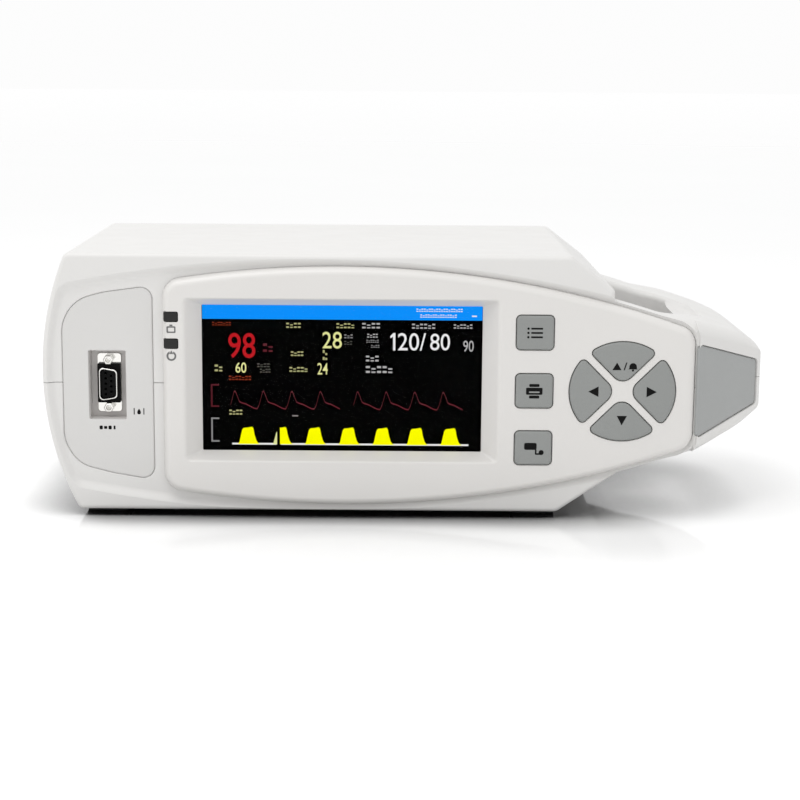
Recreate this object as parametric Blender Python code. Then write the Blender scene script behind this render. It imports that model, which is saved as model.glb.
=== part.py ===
"""A table-top patient monitor with a carrying grip at its right end, as an assembly of separate pieces.

Frame: +X to the right, +Y to the back, +Z up, origin under the middle of the case on the table.
Shapes are written in millimetres as (x, d, z), where d is the depth behind the face of the bezel.
"""

import math

import bmesh
import bpy
from mathutils import Matrix, Vector

MM = 0.001
KEY_PROUD = 0.8          # how far the keys stand out of the bezel's face
CASE_BACK = 168.0        # depth of the case's back wall
FACE_TO_MIDDLE = (CASE_BACK + KEY_PROUD) / 2 - KEY_PROUD
GAP = 0.3                # clearance between pieces that touch

# Case
AXIS_Z = 69.0            # height of the line that the front is symmetric about
PARTING_Z = 70.0
CASE_TOP = 137.0
CASE_BOTTOM = 3.5
WALL = 2.5
BAND_D = 3.5             # front of the case above and below the brow
FASCIA_D = 6.0           # front of the case inside the brow
FRONT_INSIDE_D = 9.0
TOP_LEFT = (-175.0, CASE_TOP)
BULGE = (-187.5, 72.0)
BOTTOM_LEFT = (-170.0, CASE_BOTTOM)
RIGHT_CORNERS = ((82.5, CASE_TOP, 6), (105.0, 119.8, 3.5), (109.0, 25.0, 4), (77.5, CASE_BOTTOM, 6))

# Grip: half heights about AXIS_Z along its length
GRIP_END = 187.5
GRIP_START = 98.0
GRIP_BACK = 150.0
GRIP_CREST = ((98.0, 45.0), (105.5, 43.0), (117.5, 40.0), (146.5, 34.6), (165.0, 28.7),
              (175.5, 24.9), (183.0, 20.0), (187.5, 15.6))
END_FACE_X = 147.6       # where the slanted end face starts
END_FACE_D = 0.8
END_FACE_DEPTH = 37.0
GRIP_CROWN = 14.0
GRIP_WALL = 2.8
HOLE = (100.0, 144.0, 20.0, 108.0)   # hand hole: left, right, front, back
HOLE_CORNER = 20.0
SCOOP = (118.0, 156.5, 33.0, 95.0)     # shallow thumb scoop that runs on from the hand hole

# Bezel and brow outlines: middle, half height, arc radius, left, right, corner
BEZEL = (-34.5, 62.0, 530.0, -125.5, 147.0, 10.0)
BROW = (-47.5, 64.8, 640.0, -185.0, 147.3, 12.0)
BROW_SIDE, BROW_CORNER = 3.2, 9.0     # the brow's left end follows the case's side at this distance
BEZEL_FACE = 3.0         # thickness of the bezel's face
BOSS_INSET = 4.4
BOSS_D = 10.0

# Screen
SCREEN_X, SCREEN_Z = -33.9, 72.5
SCREEN_W, SCREEN_H = 144.0, 76.0
SCREEN_D = 8.0
SILL_X, SILL_Z = 8.0, 4.0            # width of the slanted sides round the screen

# Keys
KEY_X = 64.5
KEY_ZS = {"menu_key": 98.3, "print_key": 68.2, "nibp_key": 38.4}
KEY_W, KEY_H, KEY_CORNER = 19.0, 17.6, 2.3
PAD_X, PAD_Z = 109.6, 68.2
PAD_A, PAD_B = 27.1, 25.65
PAD_GAP = 2.25
PAD_TIP_R, PAD_EDGE_R = 6.0, 2.2
KEY_BACK_D = 7.5

# Sensor panel at the left
PANEL_OUTLINE = ((-130.9, 120.2, 6), (-157.0, 116.6, 25), (-170.5, 112.4, 9), (-177.4, 101.0, 9),
                 (-177.4, 39.0, 9), (-170.0, 27.0, 9), (-152.0, 22.4, 25), (-130.9, 18.8, 6))
SOCKET_X, SOCKET_Z = -154.5, 68.7
SOCKET_W, SOCKET_H, SOCKET_DEPTH = 19.0, 35.8, 9.0

# Recorder in the left side
HINGE_Z = 43.0
BARREL_R = 2.5
DOOR_TOP = 100.0
DOOR_D = (66.4, 133.6)
PLATEN = (-171.0, 91.0)
GEAR_MODULE = 0.6
PLATEN_TEETH, PINION_TEETH = 24, 12
PINION_ANGLE = math.radians(-30)
ROLL = (-157.0, 67.0)

PORT_D = 34.0
NIBP_PORT = (88.0, 8.5)
CO2_PORT = (52.0, 6.5)
LIGHT_X = -121.0
LIGHT_ZS = {"battery_light": 105.1, "mains_light": 91.3}
CHASSIS_Z = 33.0
SPEAKER_X, SPEAKER_Z = -62.0, 104.0
BATTERY_DOOR = ((-116.0, -28.0), (46.0, 104.0))
REAR_OPENING = (-18.0, 68.0, 18.0, 54.0)
INLET_X, ROCKER_X, DATA_X, POST_X = 50.5, 26.0, 7.0, -10.0
REAR_Z = 36.0
ROCKER_TILT = 7.0
FEET_X = (-156.5, 66.0)
FEET_D = (22.0, 138.0)
SCREWS = ((-124.0, 36.0), (70.0, 36.0), (-124.0, 152.0), (70.0, 152.0))

COLOURS = {
    "case": ((0.88, 0.88, 0.87), 0.42, 0), "bezel": ((0.72, 0.70, 0.67), 0.35, 0),
    "key": ((0.36, 0.38, 0.37), 0.55, 0), "grip": ((0.40, 0.41, 0.40), 0.6, 0),
    "glass": ((0.6, 0.62, 0.64), 0.05, 0), "lcd": ((0.01, 0.01, 0.012), 0.2, 0),
    "dark": ((0.03, 0.03, 0.03), 0.4, 0), "steel": ((0.6, 0.6, 0.6), 0.3, 1),
    "board": ((0.03, 0.22, 0.09), 0.4, 0), "rubber": ((0.08, 0.08, 0.08), 0.8, 0),
    "paper": ((0.9, 0.9, 0.88), 0.8, 0), "battery": ((0.08, 0.12, 0.3), 0.45, 0),
    "brass": ((0.7, 0.5, 0.2), 0.3, 1), "tube": ((0.75, 0.75, 0.72), 0.4, 0),
    "aluminium": ((0.72, 0.72, 0.74), 0.35, 1),
}


def clear_scene():
    for obj in list(bpy.data.objects):
        bpy.data.objects.remove(obj)


def material(key):
    found = bpy.data.materials.get(key)
    if found:
        return found
    colour, roughness, metallic = COLOURS[key]
    made = bpy.data.materials.new(key)
    made.use_nodes = True
    shader = made.node_tree.nodes["Principled BSDF"]
    shader.inputs["Base Color"].default_value = (*colour, 1)
    shader.inputs["Roughness"].default_value = roughness
    shader.inputs["Metallic"].default_value = metallic
    return made


def place(x, d, z):
    return Vector((x, d - FACE_TO_MIDDLE, z)) * MM


def new_object(name, points, faces, key):
    """A closed mesh from (x, d, z) points. A key of None makes a helper, which is no piece of the object."""
    mesh = bpy.data.meshes.new(name)
    build = bmesh.new()
    corners = [build.verts.new(place(*point)) for point in points]
    for face in faces:
        build.faces.new([corners[i] for i in face])
    bmesh.ops.recalc_face_normals(build, faces=build.faces)
    build.to_mesh(mesh)
    build.free()
    obj = bpy.data.objects.new(name, mesh)
    bpy.context.scene.collection.objects.link(obj)
    if key is None:
        obj.hide_render = True
        obj.display_type = "WIRE"
        return obj
    mesh.materials.append(material(key))
    mesh.shade_smooth()
    mesh.set_sharp_from_angle(angle=math.radians(35))
    return obj


def loft(name, rings, key=None):
    """A solid through closed rings of equal length, with a flat cap at each end."""
    count = len(rings[0])
    points = [point for ring in rings for point in ring]
    faces = [tuple(range(count)), tuple(range((len(rings) - 1) * count, len(rings) * count))]
    for k in range(len(rings) - 1):
        for i in range(count):
            j = (i + 1) % count
            faces.append((k * count + i, k * count + j, (k + 1) * count + j, (k + 1) * count + i))
    return new_object(name, points, faces, key)


def on_axis(axis, u, v, t):
    """The point at t along an axis, and u, v across it: x and z for D, d and z for X, x and d for Z."""
    return {"D": (u, t, v), "X": (t, u, v), "Z": (u, v, t)}[axis]


def prism(name, outline, axis, low, high, key=None):
    return loft(name, [[on_axis(axis, u, v, t) for u, v in outline] for t in (low, high)], key)


def box(name, x, d, z, key=None):
    return prism(name, [(x[0], d[0]), (x[1], d[0]), (x[1], d[1]), (x[0], d[1])], "Z", z[0], z[1], key)


def circle(u, v, radius, sides=24):
    angles = [2 * math.pi * i / sides for i in range(sides)]
    return [(u + radius * math.cos(a), v + radius * math.sin(a)) for a in angles]


def turned(name, axis, u, v, profile, key=None, sides=24):
    """A round solid from (radius, position along the axis) steps."""
    rings = [[on_axis(axis, p, q, t) for p, q in circle(u, v, r, sides)] for r, t in profile]
    return loft(name, rings, key)


def rounded(corners, steps=3):
    """A polygon of (u, v, radius) corners with each corner rounded by an arc."""
    outline = []
    for i, (u, v, radius) in enumerate(corners):
        here = Vector((u, v))
        if radius == 0:
            outline.append((u, v))
            continue
        before = (Vector(corners[i - 1][:2]) - here).normalized()
        after = (Vector(corners[(i + 1) % len(corners)][:2]) - here).normalized()
        half = before.angle(after) / 2
        centre = here + (before + after).normalized() * radius / math.sin(half)
        start = here + before * radius / math.tan(half) - centre
        end = here + after * radius / math.tan(half) - centre
        turn = start.angle_signed(end)
        for k in range(steps + 1):
            arm = start.copy()
            arm.rotate(Matrix.Rotation(-turn * k / steps, 2))
            outline.append(tuple(centre + arm))
    return outline


def rounded_box(u, v, width, height, radius, steps=3):
    a, b = width / 2, height / 2
    signs = ((1, 1), (-1, 1), (-1, -1), (1, -1))
    return rounded([(u + a * p, v + b * q, radius) for p, q in signs], steps)


def grown(outline, by):
    """The outline moved outwards by a distance, or inwards if it is negative."""
    area = sum(a[0] * b[1] - b[0] * a[1] for a, b in zip(outline, outline[1:] + outline[:1]))
    side = 1 if area > 0 else -1
    result = []
    for i, point in enumerate(outline):
        here = Vector(point)
        before = (here - Vector(outline[i - 1])).normalized()
        after = (Vector(outline[(i + 1) % len(outline)]) - here).normalized()
        normal = (Vector((before.y, -before.x)) + Vector((after.y, -after.x))) * side
        normal /= max(normal.dot(Vector((after.y, -after.x)) * side), 1e-6)
        result.append(tuple(here + normal * by))
    return result


def eye(shape, inset=0.0, arc_steps=14, corner_steps=3):
    """The lens-shaped outline: two long arcs, straight ends and round corners, moved inwards by inset."""
    middle, half_height, radius, left, right, corner = shape
    centre_z = half_height - radius
    corner_r = max(corner - inset, 0.4)
    arc_r = radius - corner + corner_r
    points = []

    def arc(cx, cz, r, start, end, steps):
        for k in range(steps + 1):
            a = start + (end - start) * k / steps
            points.append((cx + r * math.cos(a), cz + r * math.sin(a)))

    x_right = right - max(corner, inset + corner_r)
    x_left = left + max(corner, inset + corner_r)
    z_right = centre_z + math.sqrt((radius - corner) ** 2 - (x_right - middle) ** 2)
    z_left = centre_z + math.sqrt((radius - corner) ** 2 - (x_left - middle) ** 2)
    a_right = math.atan2(z_right - centre_z, x_right - middle)
    a_left = math.atan2(z_left - centre_z, x_left - middle)
    arc(x_right, z_right, corner_r, 0, a_right, corner_steps)
    arc(middle, centre_z, arc_r, a_right, a_left, arc_steps)
    arc(x_left, z_left, corner_r, a_left, math.pi, corner_steps)
    top = [(x, AXIS_Z + z) for x, z in points]
    bottom = [(x, AXIS_Z - z) for x, z in reversed(points)]
    outline = []
    for point in top + bottom:
        if not outline or (Vector(point) - Vector(outline[-1])).length > 0.02:
            outline.append(point)
    return outline


def eye_half(shape, x):
    middle, half_height, radius = shape[:3]
    return half_height - radius + math.sqrt(radius ** 2 - (x - middle) ** 2)


def arc_centre(a, b, c):
    """Centre and radius of the circle through three points."""
    a, b, c = Vector(a), Vector(b), Vector(c)
    d = 2 * (a.x * (b.y - c.y) + b.x * (c.y - a.y) + c.x * (a.y - b.y))
    squares = [p.length_squared for p in (a, b, c)]
    x = (squares[0] * (b.y - c.y) + squares[1] * (c.y - a.y) + squares[2] * (a.y - b.y)) / d
    z = (squares[0] * (c.x - b.x) + squares[1] * (a.x - c.x) + squares[2] * (b.x - a.x)) / d
    return x, z, math.hypot(a.x - x, a.y - z)


SIDE_X, SIDE_Z, SIDE_R = arc_centre(TOP_LEFT, BULGE, BOTTOM_LEFT)


def side_x(z, inward=0.0):
    """The case's bulging left side at height z."""
    return SIDE_X - math.sqrt((SIDE_R - inward) ** 2 - (z - SIDE_Z) ** 2)


def modify(obj, other, operation):
    cut = obj.modifiers.new(other.name, "BOOLEAN")
    cut.operation = operation
    cut.object = other
    cut.solver = "EXACT"


def subtract(obj, *others):
    for other in others:
        modify(obj, other, "DIFFERENCE")


def unite(obj, *others):
    for other in others:
        modify(obj, other, "UNION")


def case_outline():
    steps = 12
    top, bottom = TOP_LEFT[1], BOTTOM_LEFT[1]
    side = [(side_x(z), z, 0) for z in (bottom + (top - bottom) * k / steps for k in range(1, steps))]
    corners = [(*p, 4) for p in (BOTTOM_LEFT,)] + side + [(*TOP_LEFT, 4)] + list(RIGHT_CORNERS)
    return rounded(corners)


def crest(x):
    for (x0, h0), (x1, h1) in zip(GRIP_CREST, GRIP_CREST[1:]):
        if x <= x1:
            return h0 + (h1 - h0) * (x - x0) / (x1 - x0)
    return GRIP_CREST[-1][1]


def grip_front(x):
    """Depth and half height of the grip's front edge."""
    margin = 1.6
    shoulder, end_half = 138.0, 15.0
    if x < END_FACE_X:
        half = eye_half(BEZEL, min(x, shoulder)) + margin
        drop = max(x - shoulder, 0) / (END_FACE_X - shoulder)
        return BAND_D + GAP, half - drop * 6.0
    along = (x - END_FACE_X) / (GRIP_END - END_FACE_X)
    return END_FACE_D + along * END_FACE_DEPTH, 27.5 + (end_half - 27.5) * along


def grip_rings(inset, front_wall, stations):
    """Cross-sections of the grip, crowned at the front and the back."""
    quarter = 4
    rings = []
    for x in stations:
        front, half_front = grip_front(x)
        front += front_wall
        back = GRIP_BACK - inset - max(x - 165.0, 0) * 1.33
        half_front = half_front - inset
        half_top = max(crest(x) - inset, half_front + 0.2)
        half_back = half_top * 0.75
        reach = min(GRIP_CROWN, (back - front) / 3)
        upper = []
        for k in range(quarter + 1):
            a = math.pi / 2 * k / quarter
            upper.append((front + reach * (1 - math.cos(a)),
                          half_front + (half_top - half_front) * math.sin(a)))
        for k in range(quarter + 1):
            a = math.pi / 2 * k / quarter
            upper.append((back - reach * (1 - math.sin(a)),
                          half_back + (half_top - half_back) * math.cos(a)))
        ring = [(x, d, AXIS_Z + h) for d, h in upper]
        ring += [(x, d, AXIS_Z - h) for d, h in reversed(upper)]
        rings.append(ring)
    return rings


def scoop_outline(grow):
    left, right, front, back = SCOOP
    corners = [(left, front, 0), (right, front, 17), (right, back, 17), (left, back, 0)]
    return grown(rounded(corners, 5), grow)


def thumb_scoop():
    """The cutter of the shallow dish in the grip's crown, beside the hand hole."""
    steps = ((0.5, 3.0), (-0.6, -1.2), (-3.0, -3.4), (-7.0, -4.6))
    return loft("thumb_scoop", [[(x, d, AXIS_Z + crest(x) + lift) for x, d in scoop_outline(grow)]
                                for grow, lift in steps])


def hole_outline(extra):
    left, right, front, back = HOLE
    return rounded([(left - 10, front - extra, 0), (right + extra, front - extra, HOLE_CORNER + extra),
                    (right + extra, back + extra, HOLE_CORNER + extra), (left - 10, back + extra, 0)], 5)


def brow_outline():
    """The brow's outline: two long arcs, and a left end that follows the case's side."""
    clear = 1.3 * BROW_CORNER
    points = eye(BROW)
    ends = []
    for up in (1, -1):
        x = BROW[3]
        for _ in range(20):
            z = AXIS_Z + up * eye_half(BROW, x)
            x = side_x(z, BROW_SIDE)
        ends.append((x, z))
    (x_top, z_top), (x_low, z_low) = ends
    long_arcs = [[(x, z, 0) for x, z in points if (z - AXIS_Z) * up > 0 and x > end[0] + clear]
                 for up, end in zip((1, -1), ends)]
    heights = [z_top - clear + (z_low - z_top + 2 * clear) * k / 8 for k in range(9)]
    side = [(side_x(z, BROW_SIDE), z, 0) for z in heights]
    return rounded(long_arcs[0] + [(x_top, z_top, BROW_CORNER)] + side + [(x_low, z_low, BROW_CORNER)]
                   + long_arcs[1], 5)


def end_face_prism(name, low, high, key, grow=0.0):
    """A slab along the slanted end face: low and high are depths below its surface."""
    length = math.hypot(GRIP_END - END_FACE_X, END_FACE_DEPTH)
    along = Vector((GRIP_END - END_FACE_X, END_FACE_DEPTH)) / length
    inward = Vector((-along.y, along.x))
    start = Vector((END_FACE_X, END_FACE_D))
    corners = ((1.6, 92.5, 2.5), (1.6, 43.5, 2.5), (length - 3.4, 56.0, 2.5), (length - 3.4, 79.5, 2.5))
    outline = grown(rounded(corners), grow)
    rings = []
    for depth in (low, high):
        at = [start + along * s + inward * depth for s, _ in outline]
        rings.append([(p.x, p.y, z) for p, (_, z) in zip(at, outline)])
    return loft(name, rings, key)


def make_case():
    """Both halves of the case: the same shell, parted at PARTING_Z."""
    outline = case_outline()
    stations = [GRIP_START, 105.5, 117.5, 128.0, 138.0, END_FACE_X - 0.3, END_FACE_X,
                156.0, 165.0, 175.5, 183.0, GRIP_END]
    inner_stations = [GRIP_START - 3, 105.5, 117.5, 128.0, 138.0, END_FACE_X - 0.3, END_FACE_X,
                      156.0, 165.0, 175.5, GRIP_END - WALL - 0.5]
    grip_void = loft("grip_void", grip_rings(GRIP_WALL, 6.5, inner_stations))
    subtract(grip_void, prism("hole_wall", hole_outline(WALL), "Z", -5, 140),
             prism("scoop_wall", scoop_outline(WALL), "Z", AXIS_Z + 20, 140))
    grip = loft("grip_solid", grip_rings(0.0, 0.0, stations))
    subtract(grip, prism("hand_hole", hole_outline(0.0), "Z", -5, 140), thumb_scoop())
    body_void = prism("body_void", grown(outline, -WALL), "D", FRONT_INSIDE_D, CASE_BACK - WALL)
    brow = brow_outline()
    dish = loft("brow_dish", [[(x, d, z) for x, z in grown(brow, -inset)] for inset, d in
                              ((0.0, -2.0), (0.0, BAND_D), (0.5, 4.7), (1.2, 5.6), (2.2, FASCIA_D))])
    seat = prism("bezel_seat", eye(BEZEL, -0.35), "D", -3, FASCIA_D + 0.15)
    opening = prism("bezel_opening", eye(BEZEL, BOSS_INSET - 0.4), "D", -3, 14)
    panel = prism("panel_opening", grown(rounded(PANEL_OUTLINE), 0.35), "D", 2, 12)
    door = box("door_opening", (-196, -178), (DOOR_D[0] - 0.4, DOOR_D[1] + 0.4),
               (HINGE_Z - BARREL_R - 0.4, DOOR_TOP + 0.4))
    pin = turned("pin_pocket", "D", *hinge_centre(), [(1.2, DOOR_D[0] - 4), (1.2, DOOR_D[1] + 4)], sides=10)
    inset = end_face_prism("inset_pocket", -2.0, 2.1, None, 0.3)
    shared = [dish, seat, opening, panel, door, pin, inset]
    names = {"upper_case": (PARTING_Z + 0.15, 150.0), "lower_case": (-10.0, PARTING_Z - 0.15)}
    edges = ((2.5, BAND_D), (0.8, BAND_D + 0.7), (0.0, BAND_D + 2.6),
             (0.0, CASE_BACK - 2.6), (0.8, CASE_BACK - 0.7), (2.5, CASE_BACK))
    halves = {}
    for name, (low, high) in names.items():
        half = loft(name, [[(x, d, z) for x, z in grown(outline, -inset)] for inset, d in edges], "case")
        unite(half, grip)
        subtract(half, body_void, grip_void, *shared)
        modify(half, box(name + "_space", (-210, 210), (-10, 190), (low, high)), "INTERSECT")
        halves[name] = half
    finish_upper(halves["upper_case"])
    finish_lower(halves["lower_case"])


def port_boss(half, name, z, radius):
    """A thickened ring in the left wall, spot-faced and bored for a hose port."""
    unite(half, turned(name + "_boss", "X", PORT_D, z, [(radius + 2.4, -185.2), (radius + 2.4, -181.0)]))
    subtract(half, turned(name + "_seat", "X", PORT_D, z, [(radius + 0.3, -192), (radius + 0.3, -184.9)]),
             turned(name + "_hole", "X", PORT_D, z, [(radius * 0.62 + 0.3, -192), (radius * 0.62 + 0.3,
                                                                                   -178)]))




def finish_upper(half):
    for i, (x, d) in enumerate(SCREWS):
        post = turned(f"post_{i}", "Z", x, d, [(3.6, 24.3), (3.6, CASE_TOP - 1)], sides=16)
        subtract(post, turned(f"post_bore_{i}", "Z", x, d, [(1.6, 20), (1.6, 50)], sides=12))
        unite(half, post)
    for k in range(9):
        x = SPEAKER_X + (k - 4) * 4.4
        reach = math.sqrt(19.0 ** 2 - ((k - 4) * 4.4) ** 2)
        subtract(half, box(f"grille_{k}", (x - 1, x + 1), (160, 175),
                           (SPEAKER_Z - reach, SPEAKER_Z + reach)))
    for k in range(8):
        subtract(half, box(f"vent_{k}", (6 + 8 * k, 9 + 8 * k), (160, 175), (92, 120)))
    port_boss(half, "nibp", *NIBP_PORT)


def finish_lower(half):
    for i, (x, d) in enumerate(SCREWS):
        post = turned(f"sleeve_{i}", "Z", x, d, [(4.4, CASE_BOTTOM + 1), (4.4, 24.0)], sides=16)
        unite(half, post)
        subtract(half, turned(f"screw_head_{i}", "Z", x, d, [(3.4, -1), (3.4, 8)], sides=16),
                 turned(f"screw_bore_{i}", "Z", x, d, [(1.8, -1), (1.8, 30)], sides=12))
    for x in FEET_X:
        for d in FEET_D:
            subtract(half, turned(f"foot_hole_{x}_{d}", "Z", x, d, [(2.6, -1), (2.6, 12)], sides=12))
    x, d = BATTERY_DOOR
    subtract(half, box("battery_opening", (x[0] - 0.4, x[1] + 0.4), (d[0] - 0.4, d[1] + 0.4), (-2, 10)))
    left, right, low, high = REAR_OPENING
    subtract(half, box("rear_opening", (left, right), (160, 175), (low, high)))
    port_boss(half, "co2", *CO2_PORT)


def hinge_centre():
    return side_x(HINGE_Z) + BARREL_R, HINGE_Z


def make_bezel():
    rings = [(2.2, 0.0), (1.0, 0.35), (0.3, 1.1), (0.0, 2.2), (0.0, FASCIA_D - GAP),
             (BOSS_INSET, FASCIA_D - GAP), (BOSS_INSET, BOSS_D)]
    bezel = loft("front_bezel", [[(x, d, z) for x, z in eye(BEZEL, i)] for i, d in rings], "bezel")
    pocket = prism("bezel_pocket", eye(BEZEL, BOSS_INSET + 2.4), "D", BEZEL_FACE, BOSS_D + 3)
    subtract(pocket, box("screen_collar", (SCREEN_X - 83, SCREEN_X + 83), (-1, SCREEN_D),
                         (SCREEN_Z - 45, SCREEN_Z + 45)))
    subtract(bezel, pocket, screen_funnel())
    for name, outline in key_outlines().items():
        subtract(bezel, prism(name + "_hole", grown(outline, 0.35), "D", -2, 5))
    for name, z in LIGHT_ZS.items():
        subtract(bezel, prism(name + "_hole", light_outline(z, GAP), "D", -2, FASCIA_D))


def screen_funnel():
    rings = []
    for grow, d in ((1.25, -2.0), (1.0, 0.0), (0.0, SCREEN_D), (0.0, SCREEN_D + 6)):
        width = SCREEN_W + 2 * SILL_X * grow
        height = SCREEN_H + 2 * SILL_Z * grow
        rings.append([(x, d, z) for x, z in rounded_box(SCREEN_X, SCREEN_Z, width, height,
                                                        0.6 + 1.4 * grow)])
    return loft("screen_funnel", rings)




def light_outline(z, grow=0.0):
    return rounded_box(LIGHT_X, z, 7.2 + 2 * grow, 4.8 + 2 * grow, 0.6, 1)


def wedge_outline(a, b, turn):
    """One quarter of the oval pad: round tip, straight flanks, elliptical rim. Turned by quarter turns."""
    tip = (PAD_GAP + PAD_TIP_R) * math.sqrt(2)
    ai, bi = a - PAD_EDGE_R, b - PAD_EDGE_R
    flank = (PAD_GAP + PAD_EDGE_R) * math.sqrt(2)
    # where the flank line z = x + flank meets the inner ellipse
    qa = 1 / ai ** 2 + 1 / bi ** 2
    qb = 2 * flank / bi ** 2
    qc = flank ** 2 / bi ** 2 - 1
    x_edge = (-qb + math.sqrt(qb ** 2 - 4 * qa * qc)) / (2 * qa)
    limit = math.atan2(x_edge / ai, (x_edge + flank) / bi)
    points = []
    for k in range(4):
        angle = math.radians(-45 - 90 * k / 3)
        points.append((PAD_TIP_R * math.cos(angle), tip + PAD_TIP_R * math.sin(angle)))
    points.reverse()
    rim = []
    for k in range(9):
        u = limit * (1 - k / 4)
        normal = Vector((math.sin(u) / ai, math.cos(u) / bi)).normalized()
        rim.append((ai * math.sin(u) + PAD_EDGE_R * normal.x, bi * math.cos(u) + PAD_EDGE_R * normal.y))
    right = (x_edge + PAD_EDGE_R * math.sqrt(0.5), x_edge + flank - PAD_EDGE_R * math.sqrt(0.5))
    points += [right] + rim + [(-right[0], right[1])]
    for _ in range(turn):
        points = [(-v, u) for u, v in points]
    return [(PAD_X + u, PAD_Z + v) for u, v in points]


def key_outlines():
    outlines = {name: rounded_box(KEY_X, z, KEY_W, KEY_H, KEY_CORNER) for name, z in KEY_ZS.items()}
    outlines["up_key"] = wedge_outline(PAD_A, PAD_B, 0)
    outlines["left_key"] = wedge_outline(PAD_B, PAD_A, 1)
    outlines["down_key"] = wedge_outline(PAD_A, PAD_B, 2)
    outlines["right_key"] = wedge_outline(PAD_B, PAD_A, 3)
    return outlines


def make_keys():
    """Each key is a cap through the bezel, with a wider flange behind the face that keeps it in."""
    flange = BEZEL_FACE + GAP
    for name, outline in key_outlines().items():
        rings = [(-0.7, -KEY_PROUD), (0.0, -KEY_PROUD + 0.6), (0.0, flange), (0.9, flange),
                 (0.9, flange + 1.2), (-0.6, flange + 1.2), (-0.6, KEY_BACK_D)]
        loft(name, [[(x, d, z) for x, z in grown(outline, by)] for by, d in rings], "key")


def make_screen():
    width, height = SCREEN_W / 2, SCREEN_H / 2
    window_d = SCREEN_D + GAP
    box("screen_window", (SCREEN_X - width - 2, SCREEN_X + width + 2), (window_d, window_d + 1.0),
        (SCREEN_Z - height - 2, SCREEN_Z + height + 2), "glass")
    lcd_d = window_d + 1.0 + GAP
    box("lcd_panel", (SCREEN_X - 79, SCREEN_X + 79), (lcd_d, lcd_d + 6), (SCREEN_Z - 45, SCREEN_Z + 45),
        "lcd")
    back = lcd_d + 6 + GAP
    bracket = box("lcd_bracket", (SCREEN_X - 81, SCREEN_X + 81), (back, back + 5),
                  (SCREEN_Z - 42, SCREEN_Z + 42), "steel")
    subtract(bracket, box("bracket_tray", (SCREEN_X - 80, SCREEN_X + 80), (back + 1.2, back + 9),
                          (SCREEN_Z - 41, SCREEN_Z + 41)),
             box("bracket_window", (SCREEN_X - 50, SCREEN_X + 50), (back - 3, back + 9),
                 (SCREEN_Z - 24, SCREEN_Z + 24)))
    for name, z in LIGHT_ZS.items():
        prism(name, light_outline(z), "D", 0.4, FASCIA_D - 0.6, "dark")


def make_boards():
    outline = [(50, 28), (84, 29), (134, 46), (134, 91), (84, 108), (50, 109)]
    prism("keypad_board", outline, "D", 9.5, 11.1, "board")
    board = box("main_board", (-114, 62), (27, 28.6), (30, 121), "board")
    for k, (x, z, w, h, t) in enumerate(((-70, 90, 30, 30, 3), (-10, 96, 18, 18, 2.4), (34, 60, 22, 30, 8),
                                         (-40, 50, 44, 9, 9))):
        unite(board, box(f"chip_{k}", (x - w / 2, x + w / 2), (28, 28.6 + t), (z - h / 2, z + h / 2)))
    sensor = box("spo2_board", (-176, -133), (21, 22.6), (38, 100), "board")
    unite(sensor, box("sensor_chip", (-166, -144), (22, 26), (84, 96)))


def d_shell(grow, height=16.6, width=8.4):
    """A 9-pin D outline, stood on end, with its long side to the left."""
    a, b = width / 2 + grow, height / 2 + grow
    lean = 1.5
    return rounded([(SOCKET_X - a, SOCKET_Z + b, 2), (SOCKET_X - a, SOCKET_Z - b, 2),
                    (SOCKET_X + a, SOCKET_Z - b + lean, 2), (SOCKET_X + a, SOCKET_Z + b - lean, 2)])


def make_sensor_panel():
    outline = rounded(PANEL_OUTLINE)
    rings = ((0.4, 5.9), (0.0, 6.3), (0.0, 9.3), (-2.2, 9.3), (-2.2, 10.8))
    panel = loft("sensor_panel", [[(x, d, z) for x, z in grown(outline, -i)] for i, d in rings], "case")
    floor = 5.9 + SOCKET_DEPTH
    w, h = SOCKET_W / 2, SOCKET_H / 2
    unite(panel, box("socket_cup", (SOCKET_X - w - 1.6, SOCKET_X + w + 1.6), (10, floor + 1.6),
                     (SOCKET_Z - h - 1.6, SOCKET_Z + h + 1.6)))
    subtract(panel, box("socket_recess", (SOCKET_X - w, SOCKET_X + w), (2, floor),
                        (SOCKET_Z - h, SOCKET_Z + h)),
             prism("shell_hole", d_shell(0.9), "D", floor - 2, floor + 5))
    shell = box("spo2_shell", (SOCKET_X - 6.2, SOCKET_X + 6.2), (floor - 1.1, floor - GAP),
                (SOCKET_Z - 15.4, SOCKET_Z + 15.4), "steel")
    unite(shell, prism("shell_rim", d_shell(0.5), "D", floor - 7.0, floor - 0.8))
    subtract(shell, prism("shell_inside", d_shell(0.0), "D", floor - 9, floor + 3))
    prism("spo2_insert", d_shell(-GAP), "D", floor - 5.5, floor + 4.5, "dark")
    for name, side in (("jackscrew_top", 1), ("jackscrew_bottom", -1)):
        z = SOCKET_Z + side * 12.5
        subtract(shell, turned(name + "_clear", "D", SOCKET_X, z, [(1.7, floor - 3), (1.7, floor + 3)],
                               sides=12))
        subtract(panel, turned(name + "_hole", "D", SOCKET_X, z, [(1.7, floor - 3), (1.7, floor + 5)],
                               sides=12))
        head = turned(name, "D", SOCKET_X, z, [(2.6, floor - 6.2), (2.6, floor - 1.4), (1.3, floor - 1.4),
                                               (1.3, floor + 4)], "steel", 6)
        subtract(head, turned(name + "_thread", "D", SOCKET_X, z, [(1.2, floor - 8), (1.2, floor - 2.2)],
                              sides=8))


def gear_outline(centre, teeth, phase):
    """Straight-flanked teeth, a little thin at the pitch circle so that the pair runs free."""
    pitch = GEAR_MODULE * teeth / 2
    step = 2 * math.pi / teeth
    shape = ((-0.30, -1.2), (-0.12, 0.85), (0.12, 0.85), (0.30, -1.2))
    points = []
    for k in range(teeth):
        for part, height in shape:
            a = phase + (k + part) * step
            r = pitch + height * GEAR_MODULE
            points.append((centre[0] + r * math.cos(a), centre[1] + r * math.sin(a)))
    return points


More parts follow.
